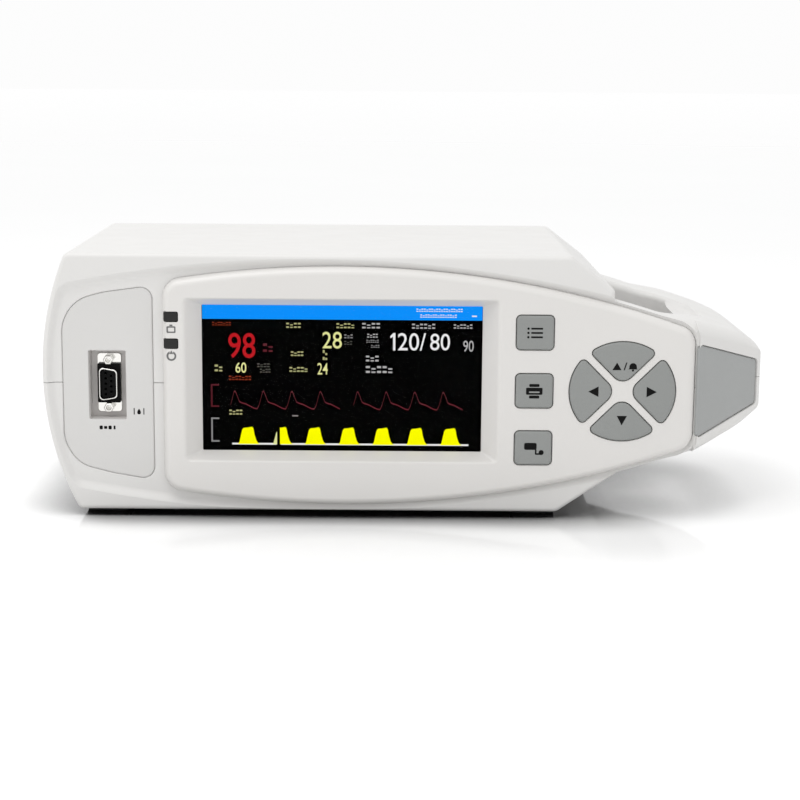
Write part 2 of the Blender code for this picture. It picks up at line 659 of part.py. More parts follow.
def make_recorder():
    cx, cz = hinge_centre()
    steps = 8
    heights = [DOOR_TOP - (DOOR_TOP - HINGE_Z) * k / steps for k in range(steps)]
    outline = [(side_x(z), z) for z in heights]
    outline += [(cx + BARREL_R * math.cos(a), cz + BARREL_R * math.sin(a))
                for a in (math.pi * (1 + 1.5 * k / 9) for k in range(10))]
    outline += [(side_x(z, BARREL_R), z) for z in reversed(heights) if z > HINGE_Z + 5]
    door = prism("recorder_door", outline, "D", *DOOR_D, "case")
    subtract(door, turned("door_bore", "D", cx, cz, [(1.2, DOOR_D[0] - 5), (1.2, DOOR_D[1] + 5)], sides=12),
             box("paper_slot", (-192, -170), (72, 128), (DOOR_TOP - 6, DOOR_TOP - 3.5)))
    turned("door_hinge_pin", "D", cx, cz, [(0.9, DOOR_D[0] - 3), (0.9, DOOR_D[1] + 3)], "steel", 10)

    frame = box("recorder_frame", (-180, -128), (68.5, 131.5), (47.5, 99), "dark")
    subtract(frame, box("frame_inside", (-190, -130), (70.3, 129.7), (49.3, 97.2)),
             turned("shaft_hole", "D", *PLATEN, [(2.4, 60), (2.4, 72)], sides=12))
    platen = turned("platen_roller", "D", *PLATEN, [(1.9, 63.5), (1.9, 71.5), (5, 71.5), (5, 128.5)],
                    "rubber", 20)
    gear = prism("platen_gear", gear_outline(PLATEN, PLATEN_TEETH, PINION_ANGLE), "D", 64, 67.5, "dark")
    subtract(gear, turned("gear_bore", "D", *PLATEN, [(2.2, 60), (2.2, 70)], sides=12))
    spread = GEAR_MODULE * (PLATEN_TEETH + PINION_TEETH) / 2
    mx = PLATEN[0] + spread * math.cos(PINION_ANGLE)
    mz = PLATEN[1] + spread * math.sin(PINION_ANGLE)
    phase = PINION_ANGLE + math.pi + math.pi / PINION_TEETH
    pinion = prism("motor_pinion", gear_outline((mx, mz), PINION_TEETH, phase), "D", 64, 67.5, "brass")
    unite(pinion, turned("pinion_shaft", "D", mx, mz, [(1, 60.5), (1, 66)], sides=10))
    motor = turned("feed_motor", "D", mx, mz, [(9, 46), (9, 60), (4, 60), (4, 61.5)], "steel")
    subtract(motor, turned("motor_bore", "D", mx, mz, [(1.4, 59), (1.4, 65)], sides=10))
    roll = turned("paper_roll", "D", *ROLL, [(16.5, 72.5), (16.5, 127.5)], "paper", 28)
    subtract(roll, turned("roll_core", "D", *ROLL, [(5, 70), (5, 130)], sides=16))
    turned("paper_spool", "D", *ROLL, [(4.6, 71), (4.6, 129)], "dark", 16)
    box("print_head", (PLATEN[0] + 5.5, PLATEN[0] + 12), (73, 127), (PLATEN[1] - 3.5, PLATEN[1] + 3.5),
        "aluminium")


def make_ports():
    for name, (z, radius), key in (("nibp_port", NIBP_PORT, "aluminium"), ("co2_port", CO2_PORT, "tube")):
        bore = radius * 0.28
        port = turned(name, "X", PORT_D, z, [(radius - 0.8, -187.3), (radius, -186.5), (radius, -185.2),
                                             (radius * 0.62, -185.2), (radius * 0.62, -176), (bore + 1,
                                                                                              -176), (bore + 1, -168)], key)
        subtract(port, turned(name + "_bore", "X", PORT_D, z, [(bore, -190), (bore, -160)], sides=16),
                 turned(name + "_mouth", "X", PORT_D, z, [(radius * 0.45, -190), (radius * 0.45, -179)],
                        sides=16))




def make_power():
    x, d = BATTERY_DOOR
    door = box("battery_door", x, d, (CASE_BOTTOM, CASE_BOTTOM + 2.2), "case")
    screw_x, screw_d = x[1] - 5, sum(d) / 2
    subtract(door, turned("door_screw_hole", "Z", screw_x, screw_d, [(1.8, 0), (1.8, 12)], sides=12),
             turned("door_screw_seat", "Z", screw_x, screw_d, [(3.2, 0), (3.2, CASE_BOTTOM + 1.1)],
                    sides=12))
    turned("battery_door_screw", "Z", screw_x, screw_d, [(2.9, CASE_BOTTOM + 0.2), (2.9, CASE_BOTTOM + 0.9),
                                                         (1.4, CASE_BOTTOM + 0.9), (1.4,
                                                                                    CASE_BOTTOM + 5)], "steel", 12)
    tab_z = CASE_BOTTOM + WALL + GAP
    unite(door, box("door_tab", (x[0] - 5, x[0] + 4), (screw_d - 10, screw_d + 10), (tab_z, tab_z + 1.5)),
          box("door_tab_root", (x[0] + 0.5, x[0] + 4), (screw_d - 10, screw_d + 10),
              (CASE_BOTTOM + 1, tab_z + 1)))
    box("battery_pack", (x[0] + 12, x[1] - 12), (d[0] + 2, d[1] - 2), (6.2, 29.0), "battery")
    chassis = box("chassis", (x[0] - 1, x[1] + 1), (d[0] - 3, d[1] + 3), (8.2, CHASSIS_Z), "steel")
    subtract(chassis, box("battery_bay", (x[0] + 0.2, x[1] - 0.2), (d[0] - 9, d[1] + 9),
                          (5, CHASSIS_Z - 1.2)))
    supply = box("power_supply", (-20, 60), (86, 134), (8, 9.6), "board")
    unite(supply, box("supply_core", (6, 32), (96, 122), (9, 36)),
          box("supply_cap", (40, 56), (100, 116), (9, 34)),
          box("supply_sink", (-16, -10), (90, 130), (9, 34)))
    co2 = box("co2_module", (-112, -54), (50, 92), (CHASSIS_Z + GAP, 56), "aluminium")
    unite(co2, turned("cell", "X", 70, 60, [(5, -100), (5, -66)], sides=12))


def make_air():
    pump = turned("nibp_pump", "X", 50, 23, [(13, -18), (13, 26), (9, 26), (9, 40)], "steel")
    unite(pump, turned("pump_outlet", "Z", -8, 50, [(2.2, 30), (2.2, 40)], sides=10))
    box("nibp_valve", (44.5, 62), (42, 58), (8, 26), "dark")
    route = [(-8, 50, 42.5), (-8, 50, 50), (-12, 48, 60), (-30, 46, 64), (-60, 45, 66), (-100, 45, 68),
             (-124, 45, 72), (-140, 42, 78), (-152, 38, 84), (-160, 34.5, 87.5), (-167, 34, 88)]
    curve = bpy.data.curves.new("air_tube", "CURVE")
    curve.dimensions = "3D"
    curve.bevel_depth = 2.4 * MM
    curve.bevel_resolution = 2
    curve.use_fill_caps = True
    line = curve.splines.new("POLY")
    points = smooth_route([Vector(p) for p in route], 3)
    line.points.add(len(points) - 1)
    for spot, point in zip(line.points, points):
        spot.co = (*place(*point), 1)
    tube = bpy.data.objects.new("air_tube", curve)
    curve.materials.append(material("tube"))
    bpy.context.scene.collection.objects.link(tube)


def smooth_route(points, steps):
    """A smooth curve through the route's own points."""
    ends = [2 * points[0] - points[1]] + points + [2 * points[-1] - points[-2]]
    route = []
    for a, b, c, e in zip(ends, ends[1:], ends[2:], ends[3:]):
        for k in range(steps):
            t = k / steps
            route.append(0.5 * ((2 * b) + (c - a) * t + (2 * a - 5 * b + 4 * c - e) * t ** 2 + (3 * b - a - 3 * c + e) * t ** 3))
    return route + [points[-1]]




def make_rear():
    left, right, low, high = REAR_OPENING
    panel = box("rear_panel", (left - 4, right + 4), (162.9, 165.2), (low - 4, high + 4), "aluminium")
    holes = ((INLET_X, 13.8, 10.3), (ROCKER_X, 7.1, 10.3), (DATA_X, 8.1, 7.1))
    for k, (x, w, h) in enumerate(holes):
        subtract(panel, box(f"panel_hole_{k}", (x - w, x + w), (155, 172), (REAR_Z - h, REAR_Z + h)))
    subtract(panel, turned("post_hole", "D", POST_X, REAR_Z, [(2.6, 155), (2.6, 172)], sides=12))

    inlet = box("mains_inlet", (INLET_X - 13.5, INLET_X + 13.5), (142, 166), (REAR_Z - 10, REAR_Z + 10),
                "dark")
    unite(inlet, box("inlet_flange", (INLET_X - 15, INLET_X + 15), (165.5, CASE_BACK),
                     (REAR_Z - 12, REAR_Z + 12)))
    mouth = rounded([(INLET_X - 12, REAR_Z - 8, 1), (INLET_X + 12, REAR_Z - 8, 1),
                     (INLET_X + 12, REAR_Z + 3, 1),
                     (INLET_X + 7, REAR_Z + 8, 1), (INLET_X - 7, REAR_Z + 8, 1), (INLET_X - 12, REAR_Z + 3,
                                                                                  1)], 1)
    subtract(inlet, prism("inlet_mouth", mouth, "D", 150, 175))
    for k, (x, z) in enumerate(((-7, -2), (0, 2), (7, -2))):
        unite(inlet, box(f"inlet_blade_{k}", (INLET_X + x - 1, INLET_X + x + 1), (148, 164),
                         (REAR_Z + z - 2, REAR_Z + z + 2)))

    housing = box("switch_housing", (ROCKER_X - 6.8, ROCKER_X + 6.8), (146, 166),
                  (REAR_Z - 10, REAR_Z + 10), "dark")
    unite(housing, box("switch_flange", (ROCKER_X - 8, ROCKER_X + 8), (165.5, 167),
                       (REAR_Z - 12, REAR_Z + 12)))
    subtract(housing, box("switch_well", (ROCKER_X - 5.5, ROCKER_X + 5.5), (154, 175),
                          (REAR_Z - 9, REAR_Z + 9)))
    tilt = math.radians(ROCKER_TILT)
    profile = [(-3.5, -7.8), (1.2, -8.2), (0.0, 0.0), (1.2, 8.2), (-3.5, 7.8), (-5.0, 0.0)]
    pivot = 164.2
    turned_profile = [(pivot + u * math.cos(tilt) - v * math.sin(tilt),
                       REAR_Z + u * math.sin(tilt) + v * math.cos(tilt))
                      for u, v in profile]
    prism("power_rocker", turned_profile, "X", ROCKER_X - 5.1, ROCKER_X + 5.1, "dark")

    port = box("data_port", (DATA_X - 7.8, DATA_X + 7.8), (150, 167), (REAR_Z - 6.8, REAR_Z + 6.8), "steel")
    subtract(port, box("port_mouth", (DATA_X - 5.9, DATA_X + 5.9), (154, 175),
                       (REAR_Z - 4.4, REAR_Z + 3.6)))
    turned("equipotential_post", "D", POST_X, REAR_Z, [(4.5, 158), (4.5, 162.6), (2.3, 162.6), (2.3, 165.6),
                                                       (3, 165.6), (3, CASE_BACK)], "brass", 16)

    speaker = turned("speaker", "D", SPEAKER_X, SPEAKER_Z, [(12, 146), (12, 152), (20, 160), (20, 164.8)],
                     "dark")
    subtract(speaker, turned("speaker_cone", "D", SPEAKER_X, SPEAKER_Z, [(6, 156), (17, 166)]))


def make_feet_and_screws():
    count = 0
    for x in FEET_X:
        for d in FEET_D:
            count += 1
            foot = loft(f"foot_{count}", [[(u, v, z) for u, v in rounded_box(x, d, 23 - i, 16 - i, 4)]
                                          for i, z in ((2.0, 0.0), (0.6, 0.6), (0.0, 1.6),
                                                       (0.0, 3.2))], "rubber")
            unite(foot, turned(f"foot_stub_{count}", "Z", x, d, [(2.2, 2.0), (2.2, 9.0)], sides=12))
    for i, (x, d) in enumerate(SCREWS):
        turned(f"case_screw_{i + 1}", "Z", x, d, [(3.0, 5.2), (3.0, 7.6), (1.3, 7.6), (1.3, 38.0)], "steel",
               12)


def main():
    clear_scene()
    make_case()
    make_bezel()
    make_keys()
    make_screen()
    make_boards()
    make_sensor_panel()
    make_recorder()
    make_ports()
    make_power()
    make_air()
    make_rear()
    make_feet_and_screws()
    end_face_prism("grip_inset", 0.7, 1.8, "grip")


main()
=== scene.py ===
"""The looks of the patient monitor: fine pieces, materials, screen picture, floor, light and camera."""

import math

import bmesh
import bpy
from mathutils import Matrix, Vector


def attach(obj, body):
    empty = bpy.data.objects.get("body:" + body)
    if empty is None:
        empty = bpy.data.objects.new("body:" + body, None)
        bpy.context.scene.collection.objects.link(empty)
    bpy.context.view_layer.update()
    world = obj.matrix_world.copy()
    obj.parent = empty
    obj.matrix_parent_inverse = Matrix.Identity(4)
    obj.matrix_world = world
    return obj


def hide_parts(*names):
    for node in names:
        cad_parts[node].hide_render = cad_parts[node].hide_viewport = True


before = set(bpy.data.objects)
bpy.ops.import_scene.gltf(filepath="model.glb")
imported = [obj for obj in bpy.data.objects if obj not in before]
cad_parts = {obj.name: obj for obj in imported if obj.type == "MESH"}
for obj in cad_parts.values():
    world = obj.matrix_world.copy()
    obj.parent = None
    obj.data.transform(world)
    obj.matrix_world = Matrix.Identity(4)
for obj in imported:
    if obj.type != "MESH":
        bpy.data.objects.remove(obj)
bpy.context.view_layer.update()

MM = 0.001
FACE_TO_MIDDLE = 83.6    # from the bezel's face back to the frame's origin
GAP = 0.3

# The case and the grip, in millimetres as (x, depth behind the bezel's face, height)
AXIS_Z = 69.0
PARTING_Z = 70.0
CASE_TOP, CASE_BOTTOM, CASE_BACK = 137.0, 3.5, 168.0
WALL = 2.5
BAND_D, FASCIA_D, FRONT_INSIDE_D = 3.5, 6.0, 9.0
TOP_LEFT, BULGE, BOTTOM_LEFT = (-175.0, CASE_TOP), (-187.5, 72.0), (-170.0, CASE_BOTTOM)
RIGHT_CORNERS = ((82.5, CASE_TOP, 6), (105.0, 119.8, 3.5), (109.0, 25.0, 4), (77.5, CASE_BOTTOM, 6))
GRIP_START, GRIP_END, GRIP_BACK = 98.0, 187.5, 150.0
GRIP_CREST = ((90.0, 46.6), (98.0, 45.0), (105.5, 43.0), (117.5, 40.0), (132.0, 37.4), (146.5, 34.6),
              (165.0, 28.7), (175.5, 24.9), (183.0, 20.0), (187.5, 15.6), (190.0, 12.6))
END_FACE_X, END_FACE_D, END_FACE_DEPTH = 147.6, 0.8, 37.0
GRIP_CROWN, GRIP_WALL, GRIP_END_ROUND = 14.0, 2.8, 2.2
HOLE, HOLE_CORNER = (100.0, 144.0, 20.0, 108.0), 20.0
SCOOP = (118.0, 156.5, 33.0, 95.0)
BEZEL = (-34.5, 62.0, 530.0, -125.5, 147.0, 10.0)
BROW = (-47.5, 64.8, 640.0, -185.0, 147.3, 12.0)
BROW_SIDE, BROW_CORNER = 3.2, 9.0
BEZEL_FACE, BOSS_INSET, BOSS_D = 3.0, 4.4, 10.0
EDGE_W, EDGE_D = 4.1, 5.85       # the bezel's rounded edge, which runs right down to the fascia

SCREEN_X, SCREEN_Z, SCREEN_W, SCREEN_H, SCREEN_D = -33.9, 72.5, 144.0, 76.0, 8.0
SILL_X, SILL_Z = 8.0, 4.0
KEY_X = 64.5
KEY_ZS = {"menu_key": 98.3, "print_key": 68.2, "nibp_key": 38.4}
KEY_W, KEY_H, KEY_CORNER, KEY_BACK_D = 19.0, 17.6, 2.3, 7.5
KEY_FACE_D = -0.74
PAD_X, PAD_Z, PAD_A, PAD_B = 109.6, 68.2, 27.1, 25.65
PAD_GAP, PAD_TIP_R, PAD_EDGE_R = 2.25, 6.0, 2.2
PANEL_OUTLINE = ((-130.9, 120.2, 6), (-157.0, 116.6, 60), (-170.5, 112.4, 18), (-177.4, 101.0, 20),
                 (-177.4, 39.0, 20), (-170.0, 27.0, 17), (-152.0, 22.4, 80), (-130.9, 18.8, 6))
SOCKET_X, SOCKET_Z, SOCKET_W, SOCKET_H, SOCKET_DEPTH = -154.5, 68.7, 19.0, 35.8, 9.0
JACK_SPREAD = 12.5        # from the middle of the socket to each jackscrew
LIGHT_X, LIGHT_ZS = -121.0, {"battery_light": 105.1, "mains_light": 91.3}
HINGE_Z, BARREL_R, DOOR_TOP, DOOR_D = 43.0, 2.5, 100.0, (66.4, 133.6)
PORT_D, PORT_SEAT_X, PORT_NECK = 34.0, -185.2, 0.62    # the neck as a share of the flange
NIBP_PORT, CO2_PORT = (88.0, 8.5), (52.0, 6.5)      # height and flange radius
SPEAKER_X, SPEAKER_Z = -62.0, 104.0
BATTERY_DOOR = ((-116.0, -28.0), (46.0, 104.0))
REAR_OPENING = (-18.0, 68.0, 18.0, 54.0)
REAR_Z, INLET_X, ROCKER_X, DATA_X, POST_X = 36.0, 50.5, 26.0, 7.0, -10.0
FEET_X, FEET_D = (-156.5, 66.0), (22.0, 138.0)
SCREWS = ((-124.0, 36.0), (70.0, 36.0), (-124.0, 152.0), (70.0, 152.0))

# The camera stands in front, a little to the left of the middle and above the top
CAMERA_X, CAMERA_D, CAMERA_Z = -9.5, -927.0, 240.0
CAMERA_PITCH, CAMERA_ROLL = math.radians(10.5), math.radians(0.4)
CAMERA_LENS = 83.0
CAMERA_SHIFT = (0.01325, -0.0125)
AMBIENT = 0.98
SHADE_REACH = 0.05
FLOOR_Y = 2.5
MIRROR_START, MIRROR_END = -0.13 - FLOOR_Y, -0.235 - FLOOR_Y    # seen from the middle of the floor


# ---------------------------------------------------------------- materials

def principled(name):
    made = bpy.data.materials.new(name)
    made.use_nodes = True
    return made, made.node_tree, made.node_tree.nodes["Principled BSDF"]


def link_noise(tree, scale, detail=3.0):
    place_node = tree.nodes.new("ShaderNodeTexCoord")
    noise = tree.nodes.new("ShaderNodeTexNoise")
    noise.inputs["Scale"].default_value = scale
    noise.inputs["Detail"].default_value = detail
    tree.links.new(place_node.outputs["Object"], noise.inputs["Vector"])
    return noise


def ramp(tree, source, low, high):
    """Colours or greys between two values, driven by a noise."""
    node = tree.nodes.new("ShaderNodeValToRGB")
    node.color_ramp.elements[0].position = 0.3
    node.color_ramp.elements[1].position = 0.7
    node.color_ramp.elements[0].color = (*low, 1)
    node.color_ramp.elements[1].color = (*high, 1)
    tree.links.new(source, node.inputs["Fac"])
    return node


def surface(name, colour, roughness, metallic=0.0, grain=900.0, bump=0.02, vary=0.03, coat=0.0,
            rough_vary=0.05, ior=1.45):
    """A moulded, coated or machined surface: slow colour drift, fine grain and uneven gloss."""
    made, tree, shader = principled(name)
    drift = link_noise(tree, 14.0, 4.0)
    low = tuple(c * (1 - vary) for c in colour)
    high = tuple(min(c * (1 + vary), 1) for c in colour)
    tint = ramp(tree, drift.outputs["Fac"], low, high)
    tree.links.new(tint.outputs["Color"], shader.inputs["Base Color"])
    gloss = link_noise(tree, 60.0, 5.0)
    spread = ramp(tree, gloss.outputs["Fac"], (roughness - rough_vary,) * 3, (roughness + rough_vary,) * 3)
    tree.links.new(spread.outputs["Color"], shader.inputs["Roughness"])
    fine = link_noise(tree, grain, 2.0)
    bumps = tree.nodes.new("ShaderNodeBump")
    bumps.inputs["Strength"].default_value = bump
    bumps.inputs["Distance"].default_value = 0.0004
    tree.links.new(fine.outputs["Fac"], bumps.inputs["Height"])
    tree.links.new(bumps.outputs["Normal"], shader.inputs["Normal"])
    shader.inputs["Metallic"].default_value = metallic
    shader.inputs["IOR"].default_value = ior
    shader.inputs["Coat Weight"].default_value = coat
    return made


def glowing(name, colour, strength):
    """A lit patch of the screen, with the faint mottling of a liquid-crystal panel."""
    made, tree, shader = principled(name)
    noise = link_noise(tree, 2500.0, 1.0)
    low = tuple(c * 0.92 for c in colour)
    tint = ramp(tree, noise.outputs["Fac"], low, colour)
    tree.links.new(tint.outputs["Color"], shader.inputs["Emission Color"])
    shader.inputs["Base Color"].default_value = (0.0, 0.0, 0.0, 1)
    shader.inputs["Emission Strength"].default_value = strength
    shader.inputs["Roughness"].default_value = 0.5
    shader.inputs["Specular IOR Level"].default_value = 0.0
    return made


def clear_glass(name):
    """Clear glass with a very faint uneven tint."""
    made, tree, shader = principled(name)
    smear = link_noise(tree, 25.0, 3.0)
    tint = ramp(tree, smear.outputs["Fac"], (0.985, 0.988, 0.99), (1.0, 1.0, 1.0))
    tree.links.new(tint.outputs["Color"], shader.inputs["Base Color"])
    shader.inputs["Transmission Weight"].default_value = 1.0
    shader.inputs["IOR"].default_value = 1.04
    shader.inputs["Roughness"].default_value = 0.0
    return made


WHITE = surface("case_plastic", (0.66, 0.652, 0.638), 0.4, grain=1400, bump=0.05, vary=0.008)
# A darker copy of the case plastic for the sensor panel: painted shade.
SHADED_PANEL_WHITE = surface("panel_plastic_painted_shade", (0.6, 0.593, 0.58), 0.4, grain=1400, bump=0.05, vary=0.008)
BEZEL_WHITE = surface("bezel_plastic", (0.65, 0.636, 0.617), 0.34, grain=1600, bump=0.04, vary=0.008,
                      coat=0.08)
KEY_GREY = surface("key_rubber", (0.246, 0.254, 0.247), 0.5, grain=2200, bump=0.25, vary=0.04)
GRIP_GREY = surface("grip_rubber", (0.335, 0.343, 0.34), 0.6, grain=1500, bump=0.3, vary=0.04)
INK = surface("black_ink", (0.006, 0.006, 0.006), 0.6, grain=3000, bump=0.02, vary=0.1, ior=1.15)
GREY_INK = surface("grey_ink", (0.12, 0.12, 0.12), 0.55, grain=3000, bump=0.02, vary=0.1)
DARK = surface("dark_plastic", (0.018, 0.018, 0.018), 0.38, grain=1500, bump=0.08, vary=0.15)
SOCKET_BLACK = surface("socket_plastic", (0.004, 0.004, 0.004), 0.5, grain=1500, bump=0.05, vary=0.15,
                       ior=1.15)
# A darker, warmer copy of the case plastic for the walls of the socket's recess: painted shade.
RECESS_SHADE = surface("recess_painted_shade", (0.58, 0.56, 0.545), 0.5, grain=1400, bump=0.05, vary=0.03)
LENS = surface("light_lens", (0.012, 0.012, 0.011), 0.16, grain=900, bump=0.01, vary=0.2, coat=0.1, ior=1.3)
STEEL = surface("zinc_plate", (0.62, 0.61, 0.59), 0.3, 1.0, grain=600, bump=0.06, vary=0.06)
CHROME = surface("nickel_plate", (0.78, 0.77, 0.74), 0.16, 1.0, grain=900, bump=0.02, vary=0.04)
BRASS = surface("brass", (0.72, 0.5, 0.22), 0.28, 1.0, grain=700, bump=0.05, vary=0.08)
ALUMINIUM = surface("aluminium", (0.7, 0.7, 0.72), 0.34, 1.0, grain=800, bump=0.08, vary=0.03)
RUBBER = surface("foot_rubber", (0.03, 0.03, 0.03), 0.75, grain=1100, bump=0.3, vary=0.2)
BOARD = surface("solder_mask", (0.012, 0.13, 0.05), 0.35, grain=350, bump=0.12, vary=0.25, coat=0.4)
PAPER = surface("thermal_paper", (0.86, 0.86, 0.83), 0.75, grain=700, bump=0.12, vary=0.02)
WRAP = surface("battery_wrap", (0.02, 0.06, 0.2), 0.3, grain=300, bump=0.1, vary=0.2, coat=0.5)
SILICONE = surface("silicone_tube", (0.72, 0.72, 0.68), 0.35, grain=500, bump=0.05, vary=0.05)
PANEL_BLACK = surface("screen_off", (0.0006, 0.0006, 0.0008), 0.4, grain=2500, bump=0.02, vary=0.3,
                      ior=1.04)
GLASS = clear_glass("window_glass")
BLUE_LIT = glowing("screen_blue", (0.004, 0.285, 1.0), 1.0)
WHITE_LIT = glowing("screen_white", (0.84, 0.84, 0.84), 1.0)
CAPTION_LIT = glowing("screen_caption", (0.42, 0.42, 0.42), 1.0)
PALE_CAPTION_LIT = glowing("screen_pale_caption", (0.42, 0.42, 0.19), 1.0)
GREY_LIT = glowing("screen_grey", (0.25, 0.25, 0.25), 1.0)
DIM_LIT = glowing("screen_dim", (0.07, 0.07, 0.06), 1.0)
YELLOW_LIT = glowing("screen_yellow", (1.0, 1.0, 0.0), 1.0)
PALE_YELLOW_LIT = glowing("screen_pale_yellow", (0.75, 0.76, 0.32), 1.0)
RED_LIT = glowing("screen_red", (0.5, 0.011, 0.016), 1.0)
DARK_RED_LIT = glowing("screen_dark_red", (0.095, 0.013, 0.02), 1.0)
RUST_LIT = glowing("screen_rust", (0.22, 0.03, 0.01), 1.0)


# ---------------------------------------------------------------- shapes

def place(x, d, z):
    return Vector((x, d - FACE_TO_MIDDLE, z)) * MM


def new_object(name, points, faces):
    mesh = bpy.data.meshes.new(name)
    build = bmesh.new()
    corners = [build.verts.new(place(*point)) for point in points]
    for face in faces:
        build.faces.new([corners[i] for i in face])
    bmesh.ops.recalc_face_normals(build, faces=build.faces)
    build.to_mesh(mesh)
    build.free()
    obj = bpy.data.objects.new(name, mesh)
    bpy.context.scene.collection.objects.link(obj)
    return obj


def loft(name, rings):
    """A solid through closed rings of equal length, with a flat cap at each end."""
    count = len(rings[0])
    points = [point for ring in rings for point in ring]
    faces = [tuple(range(count)), tuple(range((len(rings) - 1) * count, len(rings) * count))]
    for k in range(len(rings) - 1):
        for i in range(count):
            j = (i + 1) % count
            faces.append((k * count + i, k * count + j, (k + 1) * count + j, (k + 1) * count + i))
    return new_object(name, points, faces)


def deep(name, rings):
    """A solid in depth through (depth, outline) rings."""
    return loft(name, [[(x, d, z) for x, z in outline] for d, outline in rings])


def stack(name, outline, steps):
    """A solid in depth from one outline and (inset, depth) steps."""
    return deep(name, [(d, grown(outline, -inset)) for inset, d in steps])


def on_axis(axis, u, v, t):
    """The point at t along an axis, and u, v across it: x and z for D, d and z for X, x and d for Z."""
    return {"D": (u, t, v), "X": (t, u, v), "Z": (u, v, t)}[axis]


def prism(name, outline, axis, low, high):
    return loft(name, [[on_axis(axis, u, v, t) for u, v in outline] for t in (low, high)])


def box(name, x, d, z):
    return prism(name, [(x[0], d[0]), (x[1], d[0]), (x[1], d[1]), (x[0], d[1])], "Z", z[0], z[1])


def circle(u, v, radius, sides=48):
    angles = [2 * math.pi * i / sides for i in range(sides)]
    return [(u + radius * math.cos(a), v + radius * math.sin(a)) for a in angles]


def turned(name, axis, u, v, profile, sides=48):
    """A round solid from (radius, position along the axis) steps."""
    rings = [[on_axis(axis, p, q, t) for p, q in circle(u, v, r, sides)] for r, t in profile]
    return loft(name, rings)


def rounded(corners, steps=8):
    """A polygon of (u, v, radius) corners with each corner rounded by an arc."""
    outline = []
    for i, (u, v, radius) in enumerate(corners):
        here = Vector((u, v))
        if radius == 0:
            outline.append((u, v))
            continue
        before = (Vector(corners[i - 1][:2]) - here).normalized()
        after = (Vector(corners[(i + 1) % len(corners)][:2]) - here).normalized()
        half = before.angle(after) / 2
        centre = here + (before + after).normalized() * radius / math.sin(half)
        start = here + before * radius / math.tan(half) - centre
        end = here + after * radius / math.tan(half) - centre
        turn = start.angle_signed(end)
        for k in range(steps + 1):
            arm = start.copy()
            arm.rotate(Matrix.Rotation(-turn * k / steps, 2))
            outline.append(tuple(centre + arm))
    return outline


def rounded_box(u, v, width, height, radius, steps=8):
    a, b = width / 2, height / 2
    signs = ((1, 1), (-1, 1), (-1, -1), (1, -1))
    return rounded([(u + a * p, v + b * q, radius) for p, q in signs], steps)


def slab(name, shape, low, high, axis="D", steps=8):
    """A rounded box with flat faces across an axis. Its shape is (u, v, width, height, radius)."""
    return prism(name, rounded_box(*shape, steps), axis, low, high)


def grown(outline, by):
    """The outline moved outwards by a distance, or inwards if it is negative."""
    area = sum(a[0] * b[1] - b[0] * a[1] for a, b in zip(outline, outline[1:] + outline[:1]))
    side = 1 if area > 0 else -1
    result = []
    for i, point in enumerate(outline):
        here = Vector(point)
        before = (here - Vector(outline[i - 1])).normalized()
        after = (Vector(outline[(i + 1) % len(outline)]) - here).normalized()
        normal = (Vector((before.y, -before.x)) + Vector((after.y, -after.x))) * side
        normal /= max(normal.dot(Vector((after.y, -after.x)) * side), 1e-6)
        result.append(tuple(here + normal * by))
    return result


def eye(shape, inset=0.0, arc_steps=72, corner_steps=10):
    """The lens-shaped outline: two long arcs, straight ends and round corners, moved inwards by inset."""
    middle, half_height, radius, left, right, corner = shape
    centre_z = half_height - radius
    corner_r = max(corner - inset, 0.4)
    arc_r = radius - corner + corner_r
    points = []

    def arc(cx, cz, r, start, end, steps):
        for k in range(steps + 1):
            a = start + (end - start) * k / steps
            points.append((cx + r * math.cos(a), cz + r * math.sin(a)))

    x_right = right - max(corner, inset + corner_r)
    x_left = left + max(corner, inset + corner_r)
    z_right = centre_z + math.sqrt((radius - corner) ** 2 - (x_right - middle) ** 2)
    z_left = centre_z + math.sqrt((radius - corner) ** 2 - (x_left - middle) ** 2)
    a_right = math.atan2(z_right - centre_z, x_right - middle)
    a_left = math.atan2(z_left - centre_z, x_left - middle)
    arc(x_right, z_right, corner_r, 0, a_right, corner_steps)
    points.pop()
    arc(middle, centre_z, arc_r, a_right, a_left, arc_steps)
    points.pop()
    arc(x_left, z_left, corner_r, a_left, math.pi, corner_steps)
    top = [(x, AXIS_Z + z) for x, z in points]
    return top + [(x, 2 * AXIS_Z - z) for x, z in reversed(top)]


def eye_half(shape, x):
    middle, half_height, radius = shape[:3]
    return half_height - radius + math.sqrt(radius ** 2 - (x - middle) ** 2)


def edge_rings(radius, face, steps=5):
    """(inset, depth) pairs of a rounded edge that runs from a flat face at depth face to a wall."""
    angles = [math.pi / 2 * k / steps for k in range(steps + 1)]
    return [(radius * (1 - math.sin(a)), face + radius * (1 - math.cos(a))) for a in angles]


def arc_centre(a, b, c):
    """Centre and radius of the circle through three points."""
    a, b, c = Vector(a), Vector(b), Vector(c)
    d = 2 * (a.x * (b.y - c.y) + b.x * (c.y - a.y) + c.x * (a.y - b.y))
    squares = [p.length_squared for p in (a, b, c)]
    x = (squares[0] * (b.y - c.y) + squares[1] * (c.y - a.y) + squares[2] * (a.y - b.y)) / d
    z = (squares[0] * (c.x - b.x) + squares[1] * (a.x - c.x) + squares[2] * (b.x - a.x)) / d
    return x, z, math.hypot(a.x - x, a.y - z)


SIDE_X, SIDE_Z, SIDE_R = arc_centre(TOP_LEFT, BULGE, BOTTOM_LEFT)


def side_x(z, inward=0.0):
    """The case's bulging left side at height z."""
    return SIDE_X - math.sqrt((SIDE_R - inward) ** 2 - (z - SIDE_Z) ** 2)


def combine(obj, others, operation):
    """Applies Booleans at once and removes the tools they used."""
    for other in others:
        step = obj.modifiers.new("step", "BOOLEAN")
        step.operation = operation
        step.object = other
        step.solver = "EXACT"
    graph = bpy.context.evaluated_depsgraph_get()
    mesh = bpy.data.meshes.new_from_object(obj.evaluated_get(graph))
    obj.modifiers.clear()
    old = obj.data
    obj.data = mesh
    bpy.data.meshes.remove(old)
    for other in others:
        bpy.data.objects.remove(other)
    return obj


